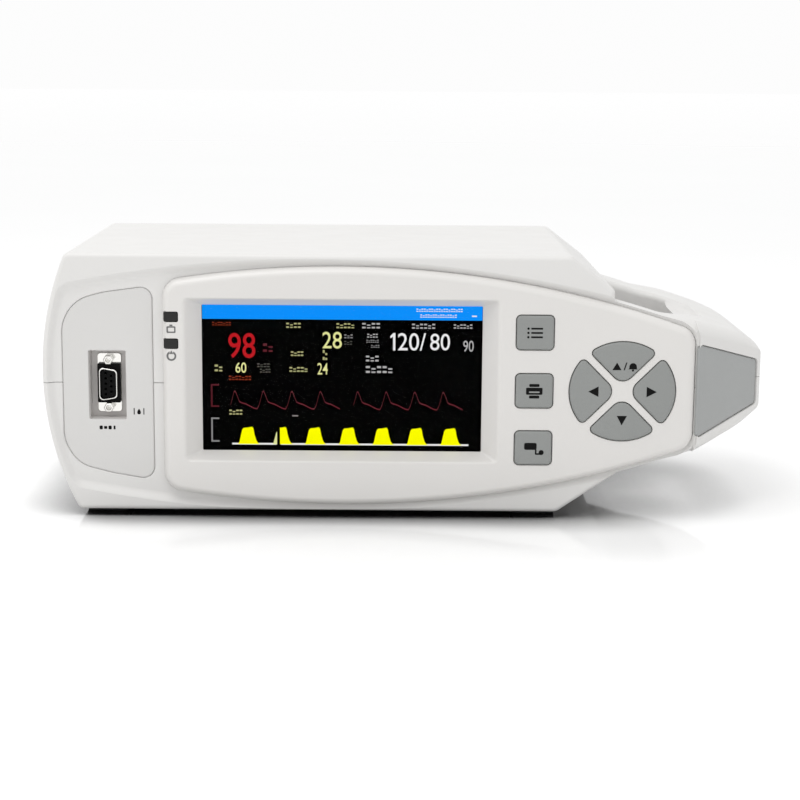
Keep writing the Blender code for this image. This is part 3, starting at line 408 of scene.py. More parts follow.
def subtract(obj, *others):
    return combine(obj, others, "DIFFERENCE")


def unite(obj, *others):
    return combine(obj, others, "UNION")


def piece(obj, body, slot, looks, *nodes, angle=32):
    """Gives a shape its shading with crisp edges, its material and its body, and hides the CAD parts it
    stands for. The slot is not used.
    """
    mesh = obj.data
    mesh.materials.clear()
    mesh.materials.append(looks)
    for polygon in mesh.polygons:
        polygon.material_index = 0
    mesh.shade_smooth()
    mesh.set_sharp_from_angle(angle=math.radians(angle))
    weighted = obj.modifiers.new("even_shading", "WEIGHTED_NORMAL")
    weighted.keep_sharp = True
    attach(obj, body)
    if nodes:
        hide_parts(*nodes)
    return obj


# ---------------------------------------------------------------- case and grip

def case_outline():
    steps = 44
    top, bottom = TOP_LEFT[1], BOTTOM_LEFT[1]
    side = [(side_x(z), z, 0) for z in (bottom + (top - bottom) * k / steps for k in range(3, steps - 1))]
    corners = [(*BOTTOM_LEFT, 4)] + side + [(*TOP_LEFT, 4)] + list(RIGHT_CORNERS)
    return rounded(corners)


def crest(x):
    """Half height of the grip's crown, a smooth curve through GRIP_CREST."""
    for k in range(1, len(GRIP_CREST) - 2):
        (x0, a), (x1, b), (x2, c), (x3, e) = GRIP_CREST[k - 1:k + 3]
        if x <= x2 or k == len(GRIP_CREST) - 3:
            t = min(max((x - x1) / (x2 - x1), 0), 1)
            before, after = (c - a) / (x2 - x0) * (x2 - x1), (e - b) / (x3 - x1) * (x2 - x1)
            return ((2 * t ** 3 - 3 * t ** 2 + 1) * b + (t ** 3 - 2 * t ** 2 + t) * before
                    + (3 * t ** 2 - 2 * t ** 3) * c + (t ** 3 - t ** 2) * after)
    return GRIP_CREST[-1][1]


def grip_front(x):
    """Depth and half height of the grip's front edge."""
    margin, shoulder, end_half = 1.6, 138.0, 15.0
    if x < END_FACE_X:
        half = eye_half(BEZEL, min(x, shoulder)) + margin
        drop = max(x - shoulder, 0) / (END_FACE_X - shoulder)
        return BAND_D + GAP, half - drop * drop * (3 - 2 * drop) * 6.0
    along = (x - END_FACE_X) / (GRIP_END - END_FACE_X)
    return END_FACE_D + along * END_FACE_DEPTH, 27.5 + (end_half - 27.5) * along


def grip_section(x, inset, front_wall):
    """Front, back and half heights of the grip's cross-section at x."""
    front, half_front = grip_front(x)
    front += front_wall
    back = GRIP_BACK - inset - max(x - 165.0, 0) * 1.33
    half_front -= inset
    half_top = max(crest(x) - inset, half_front + 0.2)
    reach = min(GRIP_CROWN, (back - front) / 3)
    return front, back, half_front, half_top, half_top * 0.75, reach


def grip_rings(inset, front_wall, stations, quarter=12):
    """Cross-sections of the grip, crowned at the front and the back. The end is rounded off."""
    rings = []
    for x in stations:
        near_end = max(x - (GRIP_END - GRIP_END_ROUND), 0) / GRIP_END_ROUND
        pull = GRIP_END_ROUND * (1 - math.sqrt(1 - min(near_end, 1) ** 2)) if inset == 0 else 0
        front, back, half_front, half_top, half_back, reach = grip_section(x, inset, front_wall)
        front, back = front + pull, back - pull
        half_front, half_top, half_back = half_front - pull, half_top - pull, half_back - pull
        rise, fall = half_top - half_front, half_top - half_back
        turn = [math.pi / 2 * k / quarter for k in range(quarter + 1)]
        upper = [(front + reach * (1 - math.cos(a)), half_front + rise * math.sin(a)) for a in turn]
        upper += [(back - reach * (1 - math.sin(a)), half_back + fall * math.cos(a)) for a in turn]
        ring = [(x, d, AXIS_Z + h) for d, h in upper]
        ring += [(x, d, AXIS_Z - h) for d, h in reversed(upper)]
        rings.append(ring)
    return rings


def crown_height(x, d):
    """Half height of the grip's surface at a place in plan."""
    front, back, half_front, half_top, half_back, reach = grip_section(min(x, GRIP_END), 0.0, 0.0)
    if d < front + reach:
        share = max(1 - (front + reach - d) / reach, 0)
        return half_front + (half_top - half_front) * math.sqrt(max(1 - (1 - share) ** 2, 0))
    if d > back - reach:
        share = max(1 - (d - back + reach) / reach, 0)
        return half_back + (half_top - half_back) * math.sqrt(max(1 - (1 - share) ** 2, 0))
    return half_top


def hole_outline(extra, steps=14):
    left, right, front, back = HOLE
    near, far, radius = front - extra, back + extra, HOLE_CORNER + extra
    return rounded([(left - 10, near, 0), (right + extra, near, radius), (right + extra, far, radius),
                    (left - 10, far, 0)], steps)


def hand_hole():
    """The cutter of the hand hole. It flares where it meets the crown, so the rim comes out rounded."""
    flare = ((4.5, 3.2), (3.4, 0.9), (2.6, 0.12), (1.7, -0.4), (0.9, -1.2), (0.3, -2.3), (0.0, -3.8))
    spread = [(extra, lift, 1) for extra, lift in flare]
    rings = []
    for extra, lift, side in spread + [(e, l, -1) for e, l, _ in reversed(spread)]:
        rings.append([(x, d, AXIS_Z + side * (crown_height(x, d) + lift)) for x, d in hole_outline(extra)])
    return loft("hand_hole", rings)


def scoop_outline(grow):
    left, right, front, back = SCOOP
    corners = [(left, front, 0), (right, front, 17), (right, back, 17), (left, back, 0)]
    return grown(rounded(corners, 14), grow)


def thumb_scoop():
    """The cutter of the shallow dish in the grip's crown, beside the hand hole."""
    steps = ((1.6, 3.0), (0.7, 0.08), (0.1, -0.25), (-0.5, -1.0), (-1.2, -2.0), (-2.2, -3.0),
             (-3.8, -3.9), (-5.6, -4.4), (-7.5, -4.6))
    return loft("thumb_scoop", [[(x, d, AXIS_Z + crown_height(x, d) + lift) for x, d in scoop_outline(grow)]
                                for grow, lift in steps])


def brow_outline():
    """The brow's outline: two long arcs, and a left end that follows the case's side."""
    clear = 1.3 * BROW_CORNER
    points = eye(BROW)
    ends = []
    for up in (1, -1):
        x = BROW[3]
        for _ in range(20):
            z = AXIS_Z + up * eye_half(BROW, x)
            x = side_x(z, BROW_SIDE)
        ends.append((x, z))
    (x_top, z_top), (x_low, z_low) = ends
    long_arcs = [[(x, z, 0) for x, z in points if (z - AXIS_Z) * up > 0 and x > end[0] + clear]
                 for up, end in zip((1, -1), ends)]
    heights = steps_between(z_top - clear, z_low + clear, 32)
    side = [(side_x(z, BROW_SIDE), z, 0) for z in heights]
    return rounded(long_arcs[0] + [(x_top, z_top, BROW_CORNER)] + side + [(x_low, z_low, BROW_CORNER)]
                   + long_arcs[1], 12)


def end_face_prism(name, rings, grow=0.0):
    """A slab along the slanted end face, from (inset, depth below its surface) rings."""
    length = math.hypot(GRIP_END - END_FACE_X, END_FACE_DEPTH)
    along = Vector((GRIP_END - END_FACE_X, END_FACE_DEPTH)) / length
    inward = Vector((-along.y, along.x))
    start = Vector((END_FACE_X, END_FACE_D))
    corners = ((1.6, 92.5, 2.5), (1.6, 43.5, 2.5), (length - 3.4, 56.0, 2.5), (length - 3.4, 79.5, 2.5))
    outline = grown(rounded(corners), grow)
    shapes = []
    for inset, depth in rings:
        edge = grown(outline, -inset)
        at = [start + along * s + inward * depth for s, _ in edge]
        shapes.append([(p.x, p.y, z) for p, (_, z) in zip(at, edge)])
    return loft(name, shapes)


def steps_between(low, high, count):
    return [low + (high - low) * k / count for k in range(count + 1)]


def layered(name, shape, rings, steps):
    """A solid in depth from a rounded box and (growth on each side, depth) rings."""
    x, z, width, height, radius = shape
    return deep(name, [(d, rounded_box(x, z, width + 2 * g, height + 2 * g, radius + g, steps))
                       for g, d in rings])


def make_case():
    outline = case_outline()
    stations = steps_between(GRIP_START, END_FACE_X - 0.3, 24)
    stations += steps_between(END_FACE_X, GRIP_END - 2.6, 22)
    stations += [GRIP_END - GRIP_END_ROUND * (1 - math.sin(math.pi / 2 * k / 5)) for k in range(6)]
    inner_stations = steps_between(GRIP_START - 3, END_FACE_X - 0.3, 10)
    inner_stations += steps_between(END_FACE_X, GRIP_END - 3, 8)
    grip_void = loft("grip_void", grip_rings(GRIP_WALL, 6.5, inner_stations, 5))
    subtract(grip_void, prism("hole_wall", hole_outline(WALL), "Z", -5, 140),
             prism("scoop_wall", scoop_outline(WALL), "Z", AXIS_Z + 20, 140))
    whole_edges = edge_rings(2.4, BAND_D)
    whole_edges += [(i, CASE_BACK + BAND_D - d) for i, d in reversed(whole_edges)]
    whole = stack("case", outline, whole_edges)
    grip = loft("grip", grip_rings(0.0, 0.0, stations))
    subtract(grip, hand_hole())
    subtract(grip, thumb_scoop())
    unite(whole, grip)
    body_void = prism("body_void", grown(outline, -WALL), "D", FRONT_INSIDE_D, CASE_BACK - WALL)
    dish_steps = ((-1.6, -2.0), (-1.5, 3.42), (-0.9, 3.53), (-0.3, 3.8), (0.3, 4.2), (0.9, 4.65),
                  (1.5, 5.1), (2.1, 5.5), (2.8, 5.8), (3.6, FASCIA_D))
    brow = brow_outline()
    dish = stack("brow_dish", brow, dish_steps)
    seat = prism("bezel_seat", eye(BEZEL, -0.07), "D", -3, FASCIA_D + 0.15)
    opening = prism("bezel_opening", eye(BEZEL, BOSS_INSET - 0.4), "D", -3, 14)
    groove = ((-0.75, 2), (-0.72, FASCIA_D - 0.02), (-0.3, FASCIA_D + 0.25), (-0.05, FASCIA_D + 0.7),
              (-0.05, 12))
    panel = stack("panel_opening", rounded(PANEL_OUTLINE, 14), groove)
    door = box("door_opening", (-196, -178), (DOOR_D[0] - 0.4, DOOR_D[1] + 0.4),
               (HINGE_Z - BARREL_R - 0.4, DOOR_TOP + 0.4))
    inset = end_face_prism("inset_pocket", ((0, -2.0), (0, 2.1)), 0.3)
    subtract(whole, body_void, grip_void, dish, seat, opening, panel, door, inset)
    halves = {"upper": (PARTING_Z + 0.15, 150.0), "lower": (-10.0, PARTING_Z - 0.15)}
    for name, (low, high) in halves.items():
        half = whole.copy()
        half.data = whole.data.copy()
        half.name = name + "_case_shell"
        bpy.context.scene.collection.objects.link(half)
        combine(half, [box("space", (-210, 210), (-10, 190), (low, high))], "INTERSECT")
        if name == "upper":
            finish_upper(half)
        else:
            finish_lower(half)
        piece(half, "housing", "case_plastic", WHITE, name + "_case")
    bpy.data.objects.remove(whole)


def soft_slot(name, x, z, width, height, radius):
    """A rounded slot through the back wall, wider at its outer edge."""
    rings = ((1.2, CASE_BACK + 1), (0.7, CASE_BACK), (0.2, CASE_BACK - 0.4), (0.0, CASE_BACK - 1.0),
             (0.0, 160))
    return layered(name, (x, z, width, height, radius), rings, 5)


def port_boss(half, z, radius):
    """The boss, seat and hole of a hose port in the left side."""
    boss, seat, hole = radius + 2.4, radius + 0.3, radius * PORT_NECK + 0.3
    unite(half, turned("boss", "X", PORT_D, z, [(boss, PORT_SEAT_X), (boss, -181.0)]))
    subtract(half, turned("seat", "X", PORT_D, z, [(seat + 0.6, -192), (seat, -186.4), (seat, -184.9)]),
             turned("hole", "X", PORT_D, z, [(hole, -192), (hole, -178)]))


def finish_upper(half):
    grille_radius, pitch = 19.0, 4.4
    tools = []
    for k in range(-4, 5):
        reach = math.sqrt(grille_radius ** 2 - (k * pitch) ** 2)
        tools.append(soft_slot("grille", SPEAKER_X + k * pitch, SPEAKER_Z, 2.0, 2 * reach, 0.95))
    for k in range(8):
        tools.append(soft_slot("vent", 7.5 + 8 * k, 106, 3.0, 28, 1.4))
    subtract(half, *tools)
    port_boss(half, *NIBP_PORT)


def finish_lower(half):
    tools = []
    for x, d in SCREWS:
        tools.append(turned("screw_well", "Z", x, d, [(4.4, 2), (4.1, 3.4), (3.4, 4.2), (3.4, 8)]))
    for x in FEET_X:
        for d in FEET_D:
            tools.append(turned("foot_hole", "Z", x, d, [(2.6, -1), (2.6, 12)]))
    x, d = BATTERY_DOOR
    width, depth = x[1] - x[0] + 0.8, d[1] - d[0] + 0.8
    tools.append(slab("battery_opening", (sum(x) / 2, sum(d) / 2, width, depth, 3), -2, 10, "Z"))
    left, right, low, high = REAR_OPENING
    x, z, width, height = (left + right) / 2, (low + high) / 2, right - left, high - low
    tools.append(soft_slot("rear_opening", x, z, width, height, 2))
    subtract(half, *tools)
    port_boss(half, *CO2_PORT)


def make_grip_inset():
    rings = edge_rings(0.9, 0.55, 4) + [(0.0, 1.8)]
    piece(end_face_prism("grip_pad", rings), "housing", "grip_rubber", GRIP_GREY, "grip_inset")


# ---------------------------------------------------------------- bezel, screen and keys

def make_bezel():
    turn = [math.pi / 2 * k / 12 for k in range(13)]
    rings = [(EDGE_W * (1 - math.sin(a)), EDGE_D * (1 - math.cos(a))) for a in turn]
    rings += [(BOSS_INSET, EDGE_D), (BOSS_INSET, BOSS_D)]
    bezel = deep("bezel_shell", [(d, eye(BEZEL, i)) for i, d in rings])
    pocket = prism("bezel_pocket", eye(BEZEL, BOSS_INSET + 2.4), "D", BEZEL_FACE, BOSS_D + 3)
    subtract(pocket, box("screen_collar", (SCREEN_X - 83, SCREEN_X + 83), (-1, SCREEN_D),
                         (SCREEN_Z - 45, SCREEN_Z + 45)))
    tools = [pocket, screen_funnel()]
    for outline in key_outlines().values():
        tools.append(soft_hole(outline, 0.35, 0.5, BEZEL_FACE + 1))
    for z in LIGHT_ZS.values():
        tools.append(soft_hole(rounded_box(LIGHT_X, z, 7.2, 4.8, 0.6, 4), GAP, 0.3, FASCIA_D))
    subtract(bezel, *tools)
    piece(bezel, "housing", "bezel_plastic", BEZEL_WHITE, "front_bezel")


def soft_hole(outline, gap, radius, depth):
    """A hole through the bezel's face whose edge is rounded."""
    flare = [(-gap - radius * (1 - math.sin(a)), radius * (1 - math.cos(a)))
             for a in (math.pi / 2 * k / 4 for k in range(5))]
    rings = [(flare[0][0] - 0.4, -1.5), (flare[0][0] - 0.05, -0.02)] + flare[1:] + [(-gap, depth)]
    return stack("hole", outline, rings)


def screen_funnel():
    """The slanted sides round the screen, with a rounded outer lip."""
    rings = []
    lip = ((1.45, -1.5, 3.4), (1.22, -0.02, 3.0), (1.1, 0.12, 2.6), (1.0, 0.5, 2.3), (0.9, 1.1, 2.0),
           (0.04, SCREEN_D - 0.5, 0.7), (0.0, SCREEN_D - 0.1, 0.6), (0.0, SCREEN_D + 6, 0.6))
    for grow, d, corner in lip:
        width = SCREEN_W + 2 * SILL_X * grow
        height = SCREEN_H + 2 * SILL_Z * grow
        rings.append((d, rounded_box(SCREEN_X, SCREEN_Z, width, height, corner)))
    return deep("screen_funnel", rings)


def wedge_outline(a, b, turn):
    """One quarter of the oval pad: round tip, straight flanks, elliptical rim. Turned by quarter turns."""
    tip = (PAD_GAP + PAD_TIP_R) * math.sqrt(2)
    ai, bi = a - PAD_EDGE_R, b - PAD_EDGE_R
    flank = (PAD_GAP + PAD_EDGE_R) * math.sqrt(2)
    qa = 1 / ai ** 2 + 1 / bi ** 2
    qb = 2 * flank / bi ** 2
    qc = flank ** 2 / bi ** 2 - 1
    x_edge = (-qb + math.sqrt(qb ** 2 - 4 * qa * qc)) / (2 * qa)
    limit = math.atan2(x_edge / ai, (x_edge + flank) / bi)
    tip_steps, rim_steps, corner_steps = 10, 32, 6
    points = []
    for k in range(tip_steps + 1):
        angle = math.radians(-135 + 90 * k / tip_steps)
        points.append((PAD_TIP_R * math.cos(angle), tip + PAD_TIP_R * math.sin(angle)))
    rim_normal = math.atan2(math.cos(limit) / bi, math.sin(limit) / ai)
    corner = []
    for k in range(corner_steps):
        angle = -math.pi / 4 + (rim_normal + math.pi / 4) * k / corner_steps
        u, v = PAD_EDGE_R * math.cos(angle), PAD_EDGE_R * math.sin(angle)
        corner.append((x_edge + u, x_edge + flank + v))
    points += corner
    for k in range(rim_steps + 1):
        u = limit * (1 - 2 * k / rim_steps)
        normal = Vector((math.sin(u) / ai, math.cos(u) / bi)).normalized()
        points.append((ai * math.sin(u) + PAD_EDGE_R * normal.x, bi * math.cos(u) + PAD_EDGE_R * normal.y))
    points += [(-u, v) for u, v in reversed(corner)]
    for _ in range(turn):
        points = [(-v, u) for u, v in points]
    return [(PAD_X + u, PAD_Z + v) for u, v in points]


def key_outlines():
    outlines = {name: rounded_box(KEY_X, z, KEY_W, KEY_H, KEY_CORNER) for name, z in KEY_ZS.items()}
    outlines["up_key"] = wedge_outline(PAD_A, PAD_B, 0)
    outlines["left_key"] = wedge_outline(PAD_B, PAD_A, 1)
    outlines["down_key"] = wedge_outline(PAD_A, PAD_B, 2)
    outlines["right_key"] = wedge_outline(PAD_B, PAD_A, 3)
    return outlines


def make_keys():
    flange = BEZEL_FACE + GAP
    for name, outline in key_outlines().items():
        rings = edge_rings(1.1, KEY_FACE_D, 5) + [(0.0, flange), (-0.9, flange), (-0.9, flange + 1.2),
                                                  (0.6, flange + 1.2), (0.6, KEY_BACK_D)]
        cap = stack(name + "_cap", outline, rings)
        piece(cap, name, "key_rubber", KEY_GREY, name)
    make_key_marks()


def mark(name, outline, body, looks=INK, face=KEY_FACE_D, lift=0.05, slot="dark_plastic"):
    """A printed mark: a very thin solid on a face."""
    return piece(prism(name, outline, "D", face - lift, face + 0.5), body, slot, looks)


def bar(u, v, width, height, radius=None):
    return rounded_box(u, v, width, height, radius or min(width, height) * 0.3, 3)


def triangle(u, v, width, height, turn):
    points = [(0, height / 2), (-width / 2, -height / 2), (width / 2, -height / 2)]
    for _ in range(turn):
        points = [(-q, p) for p, q in points]
    return [(u + p, v + q) for p, q in points]


def make_key_marks():
    x, z = KEY_X, KEY_ZS["menu_key"]
    for k in (-1, 0, 1):
        mark(f"menu_line_{k + 2}", bar(x + 0.8, z + 2.2 * k, 6.0, 0.9), "menu_key")
        mark(f"menu_dot_{k + 2}", circle(x - 3.6, z + 2.2 * k, 0.6, 16), "menu_key")
    z = KEY_ZS["print_key"]
    body = prism("print_mark_body", bar(x, z, 8.4, 3.6, 0.5), "D", KEY_FACE_D - 0.05, KEY_FACE_D + 0.2)
    subtract(body, prism("print_mark_slot", bar(x, z - 0.5, 5.4, 0.8), "D", -2, 2))
    piece(body, "print_key", "dark_plastic", INK)
    mark("print_mark_sheet", bar(x, z + 3.0, 5.2, 1.5), "print_key")
    mark("print_mark_paper", bar(x, z - 3.0, 5.2, 1.5), "print_key")
    z = KEY_ZS["nibp_key"]
    mark("cuff_mark_band", bar(x - 1.4, z + 1.0, 6.4, 3.6, 0.8), "nibp_key")
    mark("cuff_mark_hose", bar(x + 1.4, z - 1.9, 0.8, 2.6), "nibp_key")
    mark("cuff_mark_hose_foot", bar(x + 2.6, z - 3.0, 3.0, 0.8), "nibp_key")
    mark("cuff_mark_bulb", circle(x + 4.2, z - 2.2, 1.3, 24), "nibp_key")
    mark("up_mark", triangle(PAD_X - 3.2, PAD_Z + 13.2, 4.6, 3.9, 0), "up_key")
    slash = [(PAD_X + u, PAD_Z + v) for u, v in ((0.2, 11.2), (0.8, 11.2), (2.0, 15.2), (1.4, 15.2))]
    mark("up_mark_slash", slash, "up_key")
    bell = [(PAD_X + 5.0 + 1.9 * math.cos(a), PAD_Z + 13.0 + 1.9 * math.sin(a))
            for a in (math.pi * k / 12 for k in range(13))]
    bell += [(PAD_X + u, PAD_Z + v) for u, v in ((3.1, 12.2), (2.6, 11.7), (7.4, 11.7), (6.9, 12.2))]
    mark("up_mark_bell", bell, "up_key")
    mark("up_mark_clapper", circle(PAD_X + 5.0, PAD_Z + 11.1, 0.55, 16), "up_key")
    mark("left_mark", triangle(PAD_X - 14.9, PAD_Z, 5.4, 5.2, 1), "left_key")
    mark("right_mark", triangle(PAD_X + 14.9, PAD_Z, 5.4, 5.2, 3), "right_key")
    mark("down_mark", triangle(PAD_X, PAD_Z - 15.0, 5.2, 4.9, 2), "down_key")


def make_lights():
    for name, z in LIGHT_ZS.items():
        outline = rounded_box(LIGHT_X, z, 7.2, 4.8, 0.6, 4)
        rings = edge_rings(0.4, 0.12, 3) + [(0.0, FASCIA_D - 0.6)]
        lens = stack(name + "_lens", outline, rings)
        piece(lens, "housing", "dark_plastic", LENS, name)
    battery = prism("battery_sign", bar(LIGHT_X + 0.3, 98.6, 4.6, 3.4, 0.5), "D", -0.04, 0.5)
    subtract(battery, prism("battery_sign_hole", bar(LIGHT_X + 0.3, 98.6, 3.2, 2.0, 0.3), "D", -2, 2))
    piece(battery, "housing", "dark_plastic", GREY_INK)
    mark("battery_sign_pole", bar(LIGHT_X + 0.3, 100.8, 1.6, 0.8), "housing", GREY_INK, 0.0, 0.04)
    plug = prism("plug_sign", circle(LIGHT_X + 0.3, 85.0, 2.5, 32), "D", -0.04, 0.5)
    subtract(plug, prism("plug_sign_hole", circle(LIGHT_X + 0.3, 85.0, 1.6, 32), "D", -2, 2),
             box("plug_sign_cut", (LIGHT_X - 0.6, LIGHT_X + 1.2), (-2, 2), (86.0, 89)))
    piece(plug, "housing", "dark_plastic", GREY_INK)
    mark("plug_sign_pin", triangle(LIGHT_X + 0.3, 87.0, 2.0, 1.9, 0), "housing", GREY_INK, 0.0, 0.04)


LCD_D = SCREEN_D + GAP + 1.0 + GAP


def make_screen():
    window_d = SCREEN_D + GAP
    pane = rounded_box(SCREEN_X, SCREEN_Z, SCREEN_W + 4, SCREEN_H + 4, 1.0, 4)
    rings = ((0.15, window_d), (0.0, window_d + 0.15), (0.0, window_d + 0.85), (0.15, window_d + 1.0))
    window = stack("screen_pane", pane, rings)
    piece(window, "housing", "screen_glass", GLASS, "screen_window")
    panel = deep("screen_module", [(d, rounded_box(SCREEN_X, SCREEN_Z, 158 - i, 90 - i, 1.5, 4)) for i, d in
                                   ((0.8, LCD_D), (0.0, LCD_D + 0.5), (0.0, LCD_D + 6))])
    subtract(panel, slab("module_step", (SCREEN_X, SCREEN_Z, 150, 82, 0.5), 0, LCD_D + 0.25, steps=3))
    piece(panel, "housing", "lcd", PANEL_BLACK, "lcd_panel")
    make_picture()


def on_screen(u, v):
    """A place on the picture: u from its left edge and v down from its top edge, in millimetres."""
    return SCREEN_X - SCREEN_W / 2 + u, SCREEN_Z + SCREEN_H / 2 - v


def lit(name, outline, looks, layer=0):
    """A flat lit patch, a hair in front of the panel."""
    points = [on_screen(u, v) for u, v in outline]
    front = LCD_D + 0.05 - 0.05 * layer
    return piece(prism(name, points, "D", front, front + 0.03), "housing", "lcd", looks)


def lit_box(name, u0, v0, u1, v1, looks, layer=0):
    return lit(name, [(u0, v0), (u1, v0), (u1, v1), (u0, v1)], looks, layer)


def digits(name, text, u0, v0, u1, v1, looks, weight):
    """Figures squeezed into a box, with strokes thickened by weight."""
    curve = bpy.data.curves.new(name, "FONT")
    curve.body = text
    curve.extrude = 0.00001
    curve.offset = weight * 0.01
    curve.resolution_u = 5
    source = bpy.data.objects.new(name, curve)
    bpy.context.scene.collection.objects.link(source)
    graph = bpy.context.evaluated_depsgraph_get()
    mesh = bpy.data.meshes.new_from_object(source.evaluated_get(graph))
    bpy.data.objects.remove(source)
    low = [min(v.co[i] for v in mesh.vertices) for i in range(2)]
    high = [max(v.co[i] for v in mesh.vertices) for i in range(2)]
    for vertex in mesh.vertices:
        u = u0 + (vertex.co.x - low[0]) / (high[0] - low[0]) * (u1 - u0)
        v = v1 - (vertex.co.y - low[1]) / (high[1] - low[1]) * (v1 - v0)
        x, z = on_screen(u, v)
        vertex.co = place(x, LCD_D + 0.05 - (0.03 if vertex.co.z > 0 else 0), z)
    build = bmesh.new()
    build.from_mesh(mesh)
    bmesh.ops.remove_doubles(build, verts=build.verts, dist=1e-7)
    bmesh.ops.recalc_face_normals(build, faces=build.faces)
    build.to_mesh(mesh)
    build.free()
    obj = bpy.data.objects.new(name, mesh)
    bpy.context.scene.collection.objects.link(obj)
    return piece(obj, "housing", "lcd", looks)


def word(name, u0, v0, u1, v1, looks, layer=0):
    """A caption as a row of fine blocks, with no letters in it."""
    pitch = (v1 - v0) * 0.78
    count = max(round((u1 - u0) / pitch), 2)
    step = (u1 - u0) / count
    for k in range(count):
        left, right = u0 + step * k, u0 + step * (k + 0.72)
        drop = (v1 - v0) * (0.3 if k % 3 == 1 else 0.0)
        third = (v1 - v0 - drop) * 0.3
        lit_box(f"{name}_{k + 1}_top", left, v0 + drop, right, v0 + drop + third, looks, layer)
        lit_box(f"{name}_{k + 1}_low", left, v1 - third, right, v1, looks, layer)


def line_strip(name, points, width, looks):
    """A band of even height along a trace."""
    half = width / 2
    lit(name, [(u, v - half) for u, v in points] + [(u, v + half) for u, v in reversed(points)], looks)


PULSE = ((0.0, 0.0), (0.07, 0.22), (0.19, 0.96), (0.23, 1.0), (0.28, 0.82), (0.38, 0.4), (0.46, 0.33),
         (0.6, 0.27), (0.8, 0.1), (0.9, 0.02), (1.0, 0.0))


def make_picture():
    lit_box("status_bar", 0.1, 0.0, SCREEN_W - 0.1, 7.6, BLUE_LIT)
    word("clock_row_1", 110.0, 1.6, 134.0, 3.2, WHITE_LIT, 1)
    word("clock_row_2", 112.0, 4.6, 131.0, 6.2, WHITE_LIT, 1)
    lit_box("status_tab", 138.5, 5.0, 141.0, 5.7, WHITE_LIT, 1)
    digits("oxygen_figure", "98", 13.4, 14.8, 27.3, 27.9, RED_LIT, 0.6)
    digits("co2_figure", "28", 61.8, 13.9, 71.8, 22.6, PALE_YELLOW_LIT, 0.3)
    digits("breath_figure", "24", 59.2, 30.2, 64.6, 36.2, PALE_YELLOW_LIT, 0.3)
    digits("pulse_figure", "60", 17.0, 30.2, 22.6, 35.6, PALE_YELLOW_LIT, 0.8)
    digits("pressure_figure", "20/", 100.6, 14.3, 115.0, 23.4, WHITE_LIT, 0.2)
    lit("pressure_figure_one", [(98.3, 14.3), (99.3, 14.3), (99.3, 23.4), (98.1, 23.4), (98.1, 16.3),
                                (96.7, 17.0), (96.7, 15.9)], WHITE_LIT)
    digits("pressure_low_figure", "80", 117.2, 14.5, 127.4, 23.2, WHITE_LIT, 0.2)
    digits("mean_figure", "90", 134.2, 18.0, 139.6, 23.8, CAPTION_LIT, 0.4)
    word("oxygen_caption", 5.2, 9.2, 15.2, 11.0, RUST_LIT)
    word("oxygen_unit", 31.2, 20.2, 37.0, 24.6, DARK_RED_LIT)
    word("pulse_caption", 6.3, 31.4, 10.8, 34.9, PALE_CAPTION_LIT)
    word("pulse_unit", 28.2, 30.6, 35.0, 32.6, DIM_LIT)
    word("pulse_unit_2", 29.6, 33.4, 35.4, 35.4, DIM_LIT)
    word("trace_caption", 13.6, 37.2, 25.4, 39.4, RUST_LIT)
    word("co2_caption", 43.2, 9.4, 51.2, 12.0, PALE_CAPTION_LIT)
    word("co2_unit", 69.0, 9.4, 78.6, 12.0, PALE_CAPTION_LIT)
    word("co2_low_caption", 45.6, 24.2, 52.4, 26.6, PALE_CAPTION_LIT)
    word("co2_low_figure", 62.0, 23.4, 64.6, 28.6, PALE_CAPTION_LIT)
    word("breath_caption", 44.8, 32.4, 54.6, 34.9, PALE_CAPTION_LIT)
    word("alarm_caption", 73.0, 15.2, 77.8, 17.2, GREY_LIT)
    word("alarm_caption_2", 73.0, 18.6, 77.4, 20.6, DIM_LIT)
    word("pressure_caption", 82.2, 9.2, 92.0, 12.0, CAPTION_LIT)
    word("pressure_mode", 107.8, 9.4, 120.2, 12.0, CAPTION_LIT)
    word("pressure_unit", 129.2, 9.6, 139.2, 11.8, CAPTION_LIT)
    word("limit_row_1", 84.8, 14.8, 90.6, 16.8, CAPTION_LIT)
    word("limit_row_2", 84.4, 17.9, 91.0, 19.4, GREY_LIT)
    word("limit_row_3", 86.8, 20.6, 91.4, 22.0, GREY_LIT)
    word("notice_row_1", 84.2, 26.2, 91.4, 29.2, CAPTION_LIT)
    word("notice_row_2", 84.2, 31.6, 98.6, 35.2, CAPTION_LIT)
    lit_box("trace_mark", 46.2, 57.7, 49.2, 58.3, GREY_LIT)
    brackets = (("trace_bracket", 41.6, 53.6, DARK_RED_LIT), ("co2_bracket", 59.2, 72.0, GREY_LIT))
    for name, top, bottom, looks in brackets:
        lit(name, [(8.4, top), (4.2, top), (4.2, bottom), (8.4, bottom), (8.4, bottom - 0.8),
                   (5.0, bottom - 0.8), (5.0, top + 0.8), (8.4, top + 0.8)], looks)
    word("co2_trace_caption", 13.6, 55.0, 20.8, 57.6, PALE_CAPTION_LIT)
    make_pulse_trace()
    make_breath_trace()


def make_pulse_trace():
    period, low, height, peak = 14.75, 54.4, 9.2, PULSE[3][0]
    for name, first_peak, beats in (("pulse_trace_1", 16.7, 4), ("pulse_trace_2", 80.2, 4)):
        points = []
        for beat in range(beats):
            start = first_peak + (beat - peak) * period
            points += [(start + share * period, low - height * level) for share, level in PULSE[:-1]]
        line_strip(name, points[1:], 0.75, DARK_RED_LIT)


